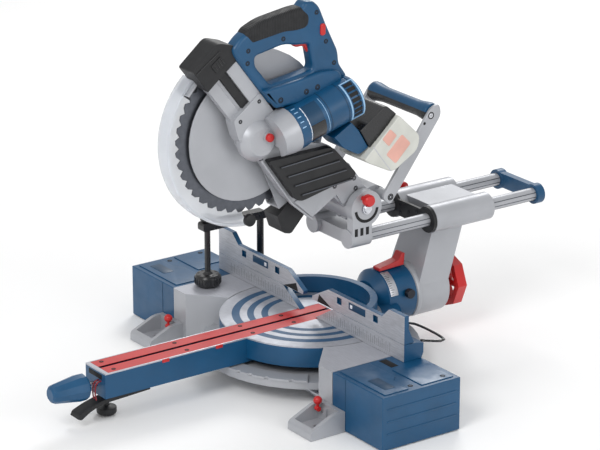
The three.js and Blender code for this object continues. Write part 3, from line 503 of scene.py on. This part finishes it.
def pipe(name, points, r, space=ROW):
    """A round wire through the listed points."""
    curve = bpy.data.curves.new(name + "_path", "CURVE")
    curve.dimensions = "3D"
    curve.bevel_depth = r
    curve.bevel_resolution = 2
    curve.resolution_u = 8
    spline = curve.splines.new("NURBS")
    spline.points.add(len(points) - 1)
    for point, at in zip(spline.points, points):
        point.co = (*at, 1)
    spline.order_u = 4
    spline.use_endpoint_u = True
    curve.use_fill_caps = True
    holder = bpy.data.objects.new(name + "_curve", curve)
    bpy.context.scene.collection.objects.link(holder)
    evaluated = holder.evaluated_get(bpy.context.evaluated_depsgraph_get())
    mesh = bpy.data.meshes.new_from_object(evaluated)
    bpy.data.objects.remove(holder)
    bpy.data.curves.remove(curve)
    bm = bmesh.new()
    bm.from_mesh(mesh)
    bpy.data.meshes.remove(mesh)
    return mesh_of(bm, name, space)


def block(name, x, y, z, space=ROW, edge=0.4):
    """A box between the given pairs with small rounded edges."""
    bm = bmesh.new()
    bmesh.ops.create_cube(bm, size=1)
    size = Vector((x[1] - x[0], y[1] - y[0], z[1] - z[0]))
    middle = Vector(((x[0] + x[1]) / 2, (y[0] + y[1]) / 2, (z[0] + z[1]) / 2))
    stretch = Matrix.Translation(middle) @ Matrix.Diagonal((*size, 1))
    bmesh.ops.transform(bm, matrix=stretch, verts=bm.verts)
    edge = min(edge, 0.45 * min(size))
    bmesh.ops.bevel(bm, geom=bm.edges[:], offset=edge, segments=2, affect="EDGES", profile=0.5)
    return mesh_of(bm, name, space)


# ---------- the object's own spaces and sizes ----------
# In millimetres, but for MOTOR's lean in radians and GUARD's turn in degrees.
TABLE = Matrix.Translation((0, FENCE_FACE, TABLE_TOP)) @ Matrix.Scale(MM, 4)
HEAD = LEVEL_TO_REST
MOTOR = {"x": 55, "lean": math.radians(21.4), "r": 35}
MOTOR_SPACE = (HEAD @ Matrix.Translation((MOTOR["x"], BLADE.y, BLADE.z))
               @ Matrix.Rotation(-MOTOR["lean"], 4, "X"))
BLADE_SPACE = HEAD @ Matrix.Translation((0, BLADE.y, BLADE.z)) @ Matrix.Rotation(math.pi / 2, 4, "Y")
RAIL = {"x": 47.5, "z": 133, "front": 48.3, "back": 431.7}
COVER = {"outer": 353, "front": -113, "back": 36, "seam": 258}
HANDLE = {"left": 22, "right": 48, "round": 6.5}
GUARD = {"from": 185, "to": 327}
PACK = {"left": 19, "right": 91}
# The outer faces of the two carry arms, the carriage bracket's ears and the arm's cover.
CARRY = {"left": -98, "right": 68}
EAR = 62
ARM_COVER_FACE = 60
# The radius of the bevel hub, and half the width of the turntable's arm.
HUB_R = 47
ARM_HALF = 28.8


# Each CAD node's material, edge rounding in millimetres and, where it isn't two, edge segments.
CAD_FINISH = {
    "base_casting": ("cast_top", 1.6, 3), "detent_plate": ("cast", 0.3),
    "clamp_post": ("enamel", 1.2), "clamp_screw": ("enamel", 0.6),
    "rear_wire_bracket": ("enamel", 0), "fixed_fence": ("fence_low", 0.8),
    "sliding_fence_left": ("fence_high", 0.8), "sliding_fence_right": ("fence_high", 0.8),
    "extension_cover_left": ("blue", 1.8, 3), "extension_cover_right": ("blue", 1.8, 3),
    "extension_bar_left": ("steel", 0), "extension_bar_right": ("steel", 0),
    "extension_lever_left": ("red", 0.3), "extension_lever_right": ("red", 0.3),
    "kerf_insert_left": ("red", 0.4), "kerf_insert_right": ("red", 0.4),
    "turntable_casting": ("turntable", 1.2, 3), "mitre_lock_knob": ("blue", 1.6, 3),
    "mitre_lock_spindle": ("steel", 0.4), "detent_lever": ("black", 1.0),
    "arm_foot": ("black", 0.8), "bevel_stop_bolt": ("screw", 0.5), "bevel_range_lever": ("red", 0.9),
    "tilt_column": ("cast", 2.2, 3), "rail_seal_plate": ("black", 0.6), "slide_lock_knob": ("red", 0.5),
    "bevel_lock_wheel": ("red", 2.6, 3), "bevel_tie_bolt": ("steel", 0.3),
    "rail_end_cap": ("blue", 2.0, 3), "rail_left": ("cast", 0.8), "rail_right": ("cast", 0.8),
    "carriage_bracket": ("cast", 0.8), "pivot_shaft": ("steel", 0.5),
    "head_lock_pin": ("red", 0.8), "head_arm": ("cast", 1.6), "arm_cover": ("black", 1.6, 3),
    "gear_housing": ("cast", 2.0, 3), "spindle_lock_button": ("red", 0.8), "upper_guard": ("cast", 0.7),
    "guard_side_plate": ("cast", 0.9), "front_cap": ("black", 3.0, 4), "motor_housing": ("blue", 1.6, 3),
    "motor_end_cap": ("blue", 1.6, 3), "battery_dock": ("gloss_black", 4.0, 4),
    "battery_pack": ("pale", 3.0, 3), "handle_shell": ("blue", 3.0, 3), "handle_grip": ("grip", 2.0, 3),
    "trigger": ("red", 1.0), "lock_off_button": ("red", 0.8), "dust_chute": ("black", 2.0, 3),
    "carry_grip": ("carry", 1.0), "return_spring": ("dark_steel", 0), "saw_blade": ("dark_steel", 0),
    "arbor_shaft": ("steel", 0.4), "guard_roller": ("black", 0.8), "lower_guard": ("frost", 0),
    "carry_arm_left": ("cast", 1.0), "carry_arm_right": ("cast", 1.0),
}


def finish_cad():
    for name in NODES:
        finish_node(name, *CAD_FINISH[name])


# ---------- head ----------
def handle():
    left, right, edge = HANDLE["left"], HANDLE["right"], HANDLE["round"]
    outer = [[-373, -17.5, 5], [-386, -14, 6], [-390, 9, 20], [-383, 51, 20], [-354, 104, 12],
             [-346, 116, 4], [-348.5, 127, 5], [-337, 139, 5], [-322, 142, 8], [-290, 134, 10],
             [-239, 124, 8], [-221, 113, 6], [-194, 112, 5], [-200, 66, 10], [-229, 16, 8],
             [-266, -17.5, 4]]
    hole = [[-335, 0, 8], [-347, 9, 6], [-322, 59, 12], [-305, 73, 5], [-289, 91, 6],
            [-256, 75, 8], [-252, 69, 6], [-290, 1, 8]]
    mesh = slab("handle_body", [outer, hole], left, right, edge, space=HEAD, rounds=5)
    shell = piece("handle_body", mesh, "blue", "head", 50)
    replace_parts(shell, "handle_shell")
    pad = [[-387.6, 14, 4], [-367, 15, 5], [-336, 70, 10], [-323, 84, 6], [-313, 100, 6],
           [-313, 110, 6], [-325, 122, 8], [-345.6, 118.4, 5], [-355, 104.8, 10], [-384, 51, 18],
           [-390.4, 24, 6]]
    mesh = slab("grip_pad", [pad], left - 0.6, right + 0.7, edge, space=HEAD, rounds=5)
    grip = piece("grip_pad", mesh, "grip", "head", 50)
    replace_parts(grip, "handle_grip")
    blade = [[-307, 80, 2], [-304, 71, 4], [-297, 74, 3], [-289, 85, 4], [-272, 84, 3], [-264, 92, 3],
             [-268, 104], [-288, 110], [-300, 98]]
    pull = piece("trigger_blade", slab("trigger_blade", [blade], 30, 40, 3, space=HEAD, rounds=4),
                 "red", "trigger", 50)
    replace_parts(pull, "trigger")
    fairing = [[-298, -17.2, 4], [-286, 2, 8], [-262, 42, 8], [-242, 78, 10], [-218, 104, 10],
               [-200, 98, 6], [-214, 60], [-234, 16], [-258, -17.2, 4]]
    proud = right + 9
    mesh = slab("handle_fairing", [fairing], right - 4, proud, 5, space=HEAD, rounds=4)
    piece("handle_fairing", mesh, "blue", "head", 50)
    spots = ((-364.7, 5), (-332, 62), (-320, 131.5), (-231, 106), (-270, 116), (-350, -8))
    for i, (y, z) in enumerate(spots):
        socket_screw(f"handle_screw_{i}", (right - 0.1, y, z), (1, 0, 0), "head", 2.8, HEAD)
    for i, (y, z) in enumerate(((-229, 57), (-239, 38), (-264, -4))):
        socket_screw(f"fairing_screw_{i}", (proud - 0.1, y, z), (1, 0, 0), "head", 3.4, HEAD)
    lock_off()


def lock_off():
    """An oblong press button, its long side upright at rest."""
    centre = Vector((-290, 123))
    along, across = Vector((-0.797, 0.605)) * 9.5, Vector((0.605, 0.797)) * 4.8
    corners = [centre - along - across, centre + along - across, centre + along + across,
               centre - along + across]
    outline = [[c.x, c.y, 4.6] for c in corners]
    button = piece("lock_off_pad", slab("lock_off_pad", [outline], 43.5, 50.6, 1.6, space=HEAD),
                   "red", "lock_off", 50)
    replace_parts(button, "lock_off_button")


def band(name, material, r, thick, low, high, start, span, count=24):
    """A raised band round the motor, from `low` to `high` along it and through `span` degrees."""
    top, edge = r + thick, 0.25
    profile = [[r - 0.4, low], [top - edge, low], [top, low + edge], [top, high - edge],
               [top - edge, high], [r - 0.4, high]]
    mesh = lathe(name, profile, MOTOR_SPACE, count, span, start)
    piece(name, mesh, material, "head")


def motor_detail():
    r = MOTOR["r"]
    band("label_edge", "frost_edge", r, 0.5, 66, 69, -66, 104)
    band("label_panel", "gloss_black", r, 0.4, 70, 97, -8, 52)
    band("label_panel_upper", "deep_blue", r, 0.25, 70, 97, -66, 56)
    band("label_rule", "sky", r, 0.3, 103, 104, -66, 104)
    band("vent_rim_low", "sky", r, 1.0, 147.5, 150, -70, 116)
    band("vent_rim_high", "sky", r, 1.0, 170.5, 173, -70, 116)
    for i, at in enumerate((-70, 43)):
        band(f"vent_rim_end_{i}", "sky", r, 1.0, 149, 171.5, at, 3, 3)
    # The vent slots are near-black bands of painted shade on the motor's skin.
    for i in range(7):
        band(f"vent_slot_{i}", "hole", r, 0.5, 152.5, 168, -64 + 15 * i, 10, 6)
    for i in range(5):
        band(f"ring_tick_{i}", "sky", r + 1, 0.3, 54, 61, -72 + 14 * i, 2.2, 2)
    for i in range(10):
        band(f"ring_rib_{i}", "deep_blue", r + 1, 0.5, 51, 65, 60 + 24 * i, 7, 3)
    for i, (low, high) in enumerate(((108, 110), (142, 144))):
        band(f"motor_seam_{i}", "deep_blue", r, 0.35, low, high, 0, 359.9, 48)


def battery_detail():
    panels = ([[-92, 80, 3], [-94, 101, 3], [-76, 104, 3], [-73, 82, 3]],
              [[-66, 70, 4], [-70, 112, 4], [-45, 115, 4], [-40, 74, 4]])
    face = PACK["right"]
    for i, panel in enumerate(panels):
        mesh = slab(f"battery_panel_{i}", [panel], face - 1, face + 0.7, 0.6, space=HEAD)
        piece(f"battery_panel_{i}", mesh, "salmon", "battery")
    seam = [[-96, 60], [-36, 60], [-36, 61.4], [-96, 61.4]]
    for i, x in enumerate((PACK["left"], PACK["right"])):
        mesh = slab(f"battery_seam_{i}", [seam], x - 0.3, x + 0.3, 0.1, space=HEAD)
        piece(f"battery_seam_{i}", mesh, "plate", "battery")
    for i in range(4):
        z = 84 + 9 * i
        rib = block(f"battery_rib_{i}", (30, 80), (-28.5, -25.2), (z, z + 3), HEAD)
        piece(f"battery_rib_{i}", rib, "pale", "battery")


def gear_detail():
    x, y, z = 53.0, BLADE.y, BLADE.z
    ring = [[15, 0], [19, 0], [20.5, -1.5], [20.5, -2.5], [14, -2.5], [14, -1], [15, 0]]
    piece("cup_ring", lathe("cup_ring", ring, aim((x + 0.2, y, z), (1, 0, 0), HEAD), 36),
          "cast", "head")
    button = [[0, 10], [5.4, 10], [6.6, 8.6], [6.8, 7], [6.8, 0.5], [0, 0.5]]
    red = lathe("lock_cap", button, aim((52, y, z + 12), (1, 0, 0), HEAD), 24)
    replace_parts(piece("lock_cap", red, "red", "spindle_lock", 50), "spindle_lock_button")
    socket_screw("gear_screw_0", (42, -256, -79), (1, 0, 0), "head", 3.4, HEAD)
    socket_screw("gear_screw_1", (42, -282, -72), (1, 0, 0), "head", 2.4, HEAD)
    socket_screw("gear_screw_2", (42, -282, -28), (1, 0, 0), "head", 2.4, HEAD)
    for i, z_at in enumerate((-60.5, -34.8)):
        edge = block(f"beam_lip_{i}", (31.5, 33.2), (-362, -292), (z_at, z_at + 1.6), HEAD)
        piece(f"beam_lip_{i}", edge, "cast", "head")


def arm_detail():
    for i in range(4):
        y = -180 + i * 22
        rib = [[y + 1, -70.5], [y + 3, -70.5], [y + 56.5, 12.5], [y + 54.5, 12.5]]
        ridge = slab(f"cover_ridge_{i}", [rib], ARM_COVER_FACE - 0.4, ARM_COVER_FACE + 0.5, 0.3,
                     space=HEAD)
        piece(f"cover_ridge_{i}", ridge, "dark_steel", "head")
    rim = [[-206, -86.4], [-106, -90], [-54, -79], [-54, -76], [-106, -86.6], [-206, -83.2]]
    piece("arm_flange", slab("arm_flange", [rim], 40, 47, 0.8, space=HEAD), "cast", "head")
    web = [[-104, -84], [-58, -76], [-58, -72], [-84, -34], [-88, -36]]
    piece("arm_web", slab("arm_web", [web], 42, 46, 0.8, space=HEAD), "cast", "head")
    for i, (y, z) in enumerate(((-64, -14), (-30, 12), (-46, 20))):
        socket_screw(f"arm_screw_{i}", (43.9, y, z), (1, 0, 0), "head", 3.0, HEAD)


def carry_detail():
    for side, out in SIDES:
        x = CARRY[side]
        socket_screw(f"carry_screw_{side}", (x, -33, 179), (out, 0, 0), "head", 4.2, HEAD,
                     "steel")
        hole_disc(f"carry_hole_{side}", (x, -32, 162), (out, 0, 0), "head", 2.6, HEAD)
        socket_screw(f"carry_root_{side}", (x, 16, 42), (out, 0, 0), "head", 4.0, HEAD)


def cap_detail():
    ridge = [[-402, -82], [-400, -30], [-398, -30], [-400, -82]]
    piece("cap_ridge", slab("cap_ridge", [ridge], 41.5, 43, 0.5, space=HEAD), "gloss_black", "head")
    latch = [[-392, -56, 2], [-392, -34, 2], [-376, -34, 2], [-376, -56, 2]]
    piece("cap_latch", slab("cap_latch", [latch], 41, 43.6, 0.8, space=HEAD), "black", "head")
    for i in range(4):
        z = -52 + 5 * i
        piece(f"latch_rib_{i}", block(f"latch_rib_{i}", (43, 44.4), (-390, -378), (z, z + 1.6), HEAD),
              "gloss_black", "head")


def lower_guard():
    """The clear guard's one moulding: its left side wall, bent over the rim to a small lip."""
    start, end = GUARD["from"], GUARD["to"]
    profile = [[30, -24], [138, -24], [144, -22.5], [147.4, -18], [148, -12], [148, 8.6], [147, 10],
               [143.4, 10], [143.2, 8.2], [145.4, 7.4], [145.4, -11], [144.4, -16.5], [141, -20],
               [137, -21.4], [30, -21.4]]
    turn = BLADE_SPACE @ Matrix.Rotation(math.radians(90), 4, "Z")
    shell = piece("guard_shell", lathe("guard_shell", profile, turn, 48, end - start, start),
                  "frost", "blade_guard")
    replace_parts(shell, "lower_guard")


def head_detail():
    handle()
    motor_detail()
    battery_detail()
    gear_detail()
    arm_detail()
    carry_detail()
    cap_detail()
    lower_guard()


# ---------- base ----------
def mirrored(side, low, high):
    return (low, high) if side > 0 else (-high, -low)


def kerf_detail():
    """Painted shade at the bottom of the kerf trough, the inserts' screws and tabs, the arm's bare
    edges.
    """
    # A near-black block of painted shade at the bottom of the kerf trough.
    shade_block = block("trough_painted_shade", (-13.6, 13.6), (-390, 36), (-29.8, -24), TABLE)
    piece("trough_painted_shade", shade_block, "hole", "turntable")
    for name, side in SIDES:
        tab_x = mirrored(side, ARM_HALF - 0.6, ARM_HALF + 0.9)
        edge_x = mirrored(side, ARM_HALF - 1.3, ARM_HALF + 0.2)
        for i, y in enumerate((-380, -245, -120, -40)):
            at = (side * 18, y, -0.1)
            socket_screw(f"kerf_screw_{name}_{i}", at, (0, 0, 1), "turntable", 2.6, TABLE)
        for i, y in enumerate((-298, -198)):
            tab = block(f"kerf_tab_{name}_{i}", tab_x, (y, y + 13), (-6, -0.3), TABLE)
            piece(f"kerf_tab_{name}_{i}", tab, "red", "turntable")
        strip = block(f"arm_edge_{name}", edge_x, (-401, -150), (-1.4, 0.1), TABLE)
        piece(f"arm_edge_{name}", strip, "plate", "turntable")


def arm_front():
    # A near-black block of painted shade for the slot in the arm's front face.
    slot = block("arm_front_slot", (-19, 19), (-402.5, -400), (-13, -5), TABLE)
    piece("arm_front_slot", slot, "hole", "turntable")
    for i, x in enumerate((9, 16)):
        path = [(x, -401, -16), (x, -409, -15), (x, -414, -24), (x, -413, -38), (x - 2, -410, -46)]
        piece(f"lever_wire_{i}", pipe(f"lever_wire_{i}", path, 1.3, TABLE), "dark_red", "turntable")
    profile = [[0, 64], [10, 64], [13.5, 61.5], [15, 58], [21.4, 15], [21.2, 4], [17, 0], [5.3, 0],
               [0, 0.2]]
    knob = lathe("knob_body", profile, aim((0, -420, -25), (0, -1, 0), TABLE), 11)
    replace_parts(piece("knob_body", knob, "blue", "mitre_lock", 18), "mitre_lock_knob")


def cover_detail(name, side):
    body = f"extension_{name}"
    steps = [[230, -104, 3], [346, -104, 3], [346, -58, 3], [306, -58, 3], [296, -46, 3], [230, -46, 3]]
    rear = [[270, -34, 3], [346, -34, 3], [346, 28, 3], [282, 28, 3], [282, -8, 3], [270, -14, 3]]
    for i, plan in enumerate((steps, rear)):
        loop = [[side * x, y, radius] for x, y, radius in plan][::side]
        step = slab(f"cover_step_{name}_{i}", [loop], -0.6, 1.5, 0.7, "z", TABLE)
        piece(f"cover_step_{name}_{i}", step, "blue", body)
    # A near-black strip of painted shade for the slot in the cover's top, by the fence.
    slot = block(f"cover_slot_{name}", mirrored(side, 229, 262), (-28, -14), (-0.6, 0.3), TABLE)
    piece(f"cover_slot_{name}", slot, "hole", body)
    front, back = COVER["front"], COVER["back"]
    for i, (y0, y1) in enumerate(((front - 0.5, front + 1), (back - 1, back + 0.5))):
        seam_x = mirrored(side, COVER["seam"] - 0.5, COVER["seam"] + 0.7)
        seam = block(f"cover_seam_{name}_{i}", seam_x, (y0, y1), (-85, -1), TABLE)
        piece(f"cover_seam_{name}_{i}", seam, "deep_blue", body)
    plate = block(f"cover_plate_{name}", mirrored(side, 286, 330), (-92, -72), (1.3, 1.9), TABLE)
    piece(f"cover_plate_{name}", plate, "deep_blue", body)
    for i, (y, z) in enumerate(((14, 1.5), (-48, 0.0))):
        at = (side * 336, y, z)
        socket_screw(f"cover_screw_{name}_{i}", at, (0, 0, 1), body, 3, TABLE)
    for i in range(3):
        z = -22 - 20 * i
        rib_x = mirrored(side, COVER["outer"] - 0.6, COVER["outer"] + 0.9)
        rib = block(f"cover_side_rib_{name}_{i}", rib_x, (-104, 28), (z, z + 2.4), TABLE)
        piece(f"cover_side_rib_{name}_{i}", rib, "blue", body)


def fence_detail(name, side):
    body = f"fence_{name}"
    panel = block(f"fence_panel_{name}", mirrored(side, 112, 156), (-0.45, 0.4), (43, 55), TABLE)
    piece(f"fence_panel_{name}", panel, "deep_blue", body)
    mark = block(f"fence_mark_{name}", mirrored(side, 116, 122), (-0.7, -0.3), (46, 52), TABLE)
    piece(f"fence_mark_{name}", mark, "frost_edge", body)
    # A near-black wedge of painted shade on the fence face, by the diagonal cut near the kerf.
    wedge = [[side * x, z] for x, z in ((27, 29.6), (66, 29.6), (32, 43))][::side]
    piece(f"fence_wedge_{name}", slab(f"fence_wedge_{name}", [wedge], -0.3, 0.4, 0.1, "y", TABLE),
          "hole", body)
    for i, x in enumerate((80, 176)):
        pane = mirrored(side, x + 1, x + 11)
        inset = block(f"fence_window_{name}_{i}", pane, (3.2, 5.2), (44, 53), TABLE)
        piece(f"fence_window_{name}_{i}", inset, "deep_blue", body)


def clamp_detail():
    low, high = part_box("clamp_screw")
    x = (low[0] + high[0]) / 2 / MM
    y = (low[1] + high[1]) / 2 / MM
    table = TABLE_TOP / MM
    for i in range(8):
        a = math.radians(45 * i)
        spot = (x + 16 * math.cos(a), y + 16 * math.sin(a), table + 21)
        hole_disc(f"clamp_hole_{i}", spot, (0, 0, 1), "clamp_screw", 2.4)
    for i in range(24):
        a = math.radians(15 * i)
        at = aim((x, y, table), (0, 0, 1)) @ Matrix.Rotation(a, 4, "Z")
        tooth = block(f"clamp_knurl_{i}", (21.4, 22.7), (-1.2, 1.2), (6, 16), at, 0.3)
        piece(f"clamp_knurl_{i}", tooth, "enamel", "clamp_screw")


def carriage_detail():
    pivot_y, pivot_z = (TABLE.inverted() @ PIVOT)[1:]
    # A near-black arc of painted shade for the slot round the pivot in the bracket's ear.
    arc = [[18.5, -0.3], [23.5, -0.3], [23.5, 0.35], [18.5, 0.35]]
    slot = lathe("pivot_slot", arc, aim((EAR, pivot_y, pivot_z), (1, 0, 0), TABLE), 24, 170, -85)
    piece("pivot_slot", slot, "hole", "carriage")
    cap = [[0, 5], [6, 5], [6.8, 4], [7, 2.6], [8.2, 2.4], [9, 1.6], [9, 0.2], [0, 0.2]]
    for name, out in reversed(SIDES):
        x = out * EAR
        place = aim((x, pivot_y, pivot_z), (out, 0, 0), TABLE)
        shaft_cap = lathe(f"pivot_cap_{name}", cap, place, 28)
        piece(f"pivot_cap_{name}", shaft_cap, "steel", "carriage")
        for i in range(3):
            y = 48 + 11 * i
            # Each window in the bracket's ears is a thin near-black sheet of painted shade.
            window = block(f"ear_window_{name}_{i}", (x - 0.4, x + 0.4), (y, y + 6), (139, 152), TABLE)
            piece(f"ear_window_{name}_{i}", window, "hole", "carriage")
    # The rails' grooves are thin raised strips of dark steel: painted shade for the grooves.
    for name, side in SIDES:
        for i, degrees in enumerate((-28, 12, 52, 128, 168, 208)):
            a = math.radians(degrees)
            rail = Matrix.Translation((side * RAIL["x"], 0, RAIL["z"]))
            at = TABLE @ rail @ Matrix.Rotation(a, 4, "Y")
            line = block(f"rail_groove_{name}_{i}", (10.6, 11.12), (RAIL["front"], RAIL["back"]),
                         (-0.7, 0.7), at, 0.1)
            piece(f"rail_groove_{name}_{i}", line, "dark_steel", "carriage")


def column_detail():
    for i, (x, z) in enumerate(((-22, 140), (22, 140), (-22, 126), (22, 126), (0, 133))):
        socket_screw(f"seal_screw_{i}", (x, 203.1, z), (0, -1, 0), "column", 2.2, TABLE)
    inner, crest = HUB_R - 0.4, HUB_R + 1.6
    collar = [[inner, 189], [crest - 0.4, 189], [crest, 190], [crest, 196], [crest - 0.4, 197],
              [inner, 197]]
    ring = lathe("column_collar", collar, aim((0, 0, 0), (0, 1, 0), TABLE), 56, 280, 130)
    piece("column_collar", ring, "cast", "column")


def hub_detail():
    at = aim((0, 0, 0), (0, 1, 0), TABLE)
    inner, top = HUB_R - 0.3, HUB_R + 0.5
    strip = [[inner, 135], [top - 0.15, 135], [top, 135.6], [top, 149.4], [top - 0.15, 150],
             [inner, 150]]
    scale = lathe("bevel_scale", strip, at, 20, 56, -72)
    piece("bevel_scale", scale, "plate", "turntable")
    for i in range(12):
        end = 144 if i % 3 == 0 else 141
        tick = [[top - 0.2, 136], [top + 0.2, 136], [top + 0.2, end], [top - 0.2, end]]
        mark = lathe(f"bevel_tick_{i}", tick, at, 2, 0.8, -70 + 4.6 * i)
        piece(f"bevel_tick_{i}", mark, "hole", "turntable")


def base_detail():
    kerf_detail()
    arm_front()
    for name, side in SIDES:
        cover_detail(name, side)
        fence_detail(name, side)
    clamp_detail()
    carriage_detail()
    column_detail()
    hub_detail()


finish_cad()
head_detail()
base_detail()


# ---------- stage, lights and camera ----------
def stage():
    g = Graph("pale_floor")
    g.surface(g.shade(linear(250, 250, 250), 0.01, 3))
    g.shader.inputs["Roughness"].default_value = 0.9
    bm = bmesh.new()
    bmesh.ops.create_grid(bm, x_segments=2, y_segments=2, size=9)
    floor = bpy.data.objects.new("floor", mesh_of(bm, "floor"))
    bpy.context.scene.collection.objects.link(floor)
    floor.data.materials.append(g.material)
    floor.location.z = -0.0005
    world = bpy.data.worlds.new("soft_white")
    world.use_nodes = True
    world.node_tree.nodes["Background"].inputs["Color"].default_value = (1, 1, 1, 1)
    world.node_tree.nodes["Background"].inputs["Strength"].default_value = 0.62
    bpy.context.scene.world = world


def light(name, at, target, size, power):
    data = bpy.data.lights.new(name, "AREA")
    data.energy = power
    data.shape = "DISK"
    data.size = size
    o = bpy.data.objects.new(name, data)
    bpy.context.scene.collection.objects.link(o)
    o.location = at
    o.rotation_euler = (Vector(target) - Vector(at)).to_track_quat("-Z", "Y").to_euler()


def camera():
    """The photograph's viewing angle: from above and the right of the front, by a long lens."""
    data = bpy.data.cameras.new("camera")
    data.sensor_width = 36.0
    data.lens = 172.67
    o = bpy.data.objects.new("camera", data)
    bpy.context.scene.collection.objects.link(o)
    right = (0.57853, 0.81566, 0.0)
    up = (-0.27286, 0.19354, 0.94239)
    back = (0.76867, -0.54520, 0.33453)
    turn = Matrix((right, up, back)).transposed().to_4x4()
    o.matrix_world = Matrix.Translation((3.5320, -2.4988, 1.7802)) @ turn
    bpy.context.scene.camera = o


stage()
light("key", (1.2, -2.6, 2.6), (0, 0, 0.25), 1.6, 50)
light("fill", (3.0, 0.6, 1.4), (0, 0, 0.25), 1.8, 20)
light("rim", (-1.8, 1.8, 2.2), (0, 0, 0.3), 1.2, 34)
camera()
bpy.context.scene.view_settings.view_transform = "Standard"
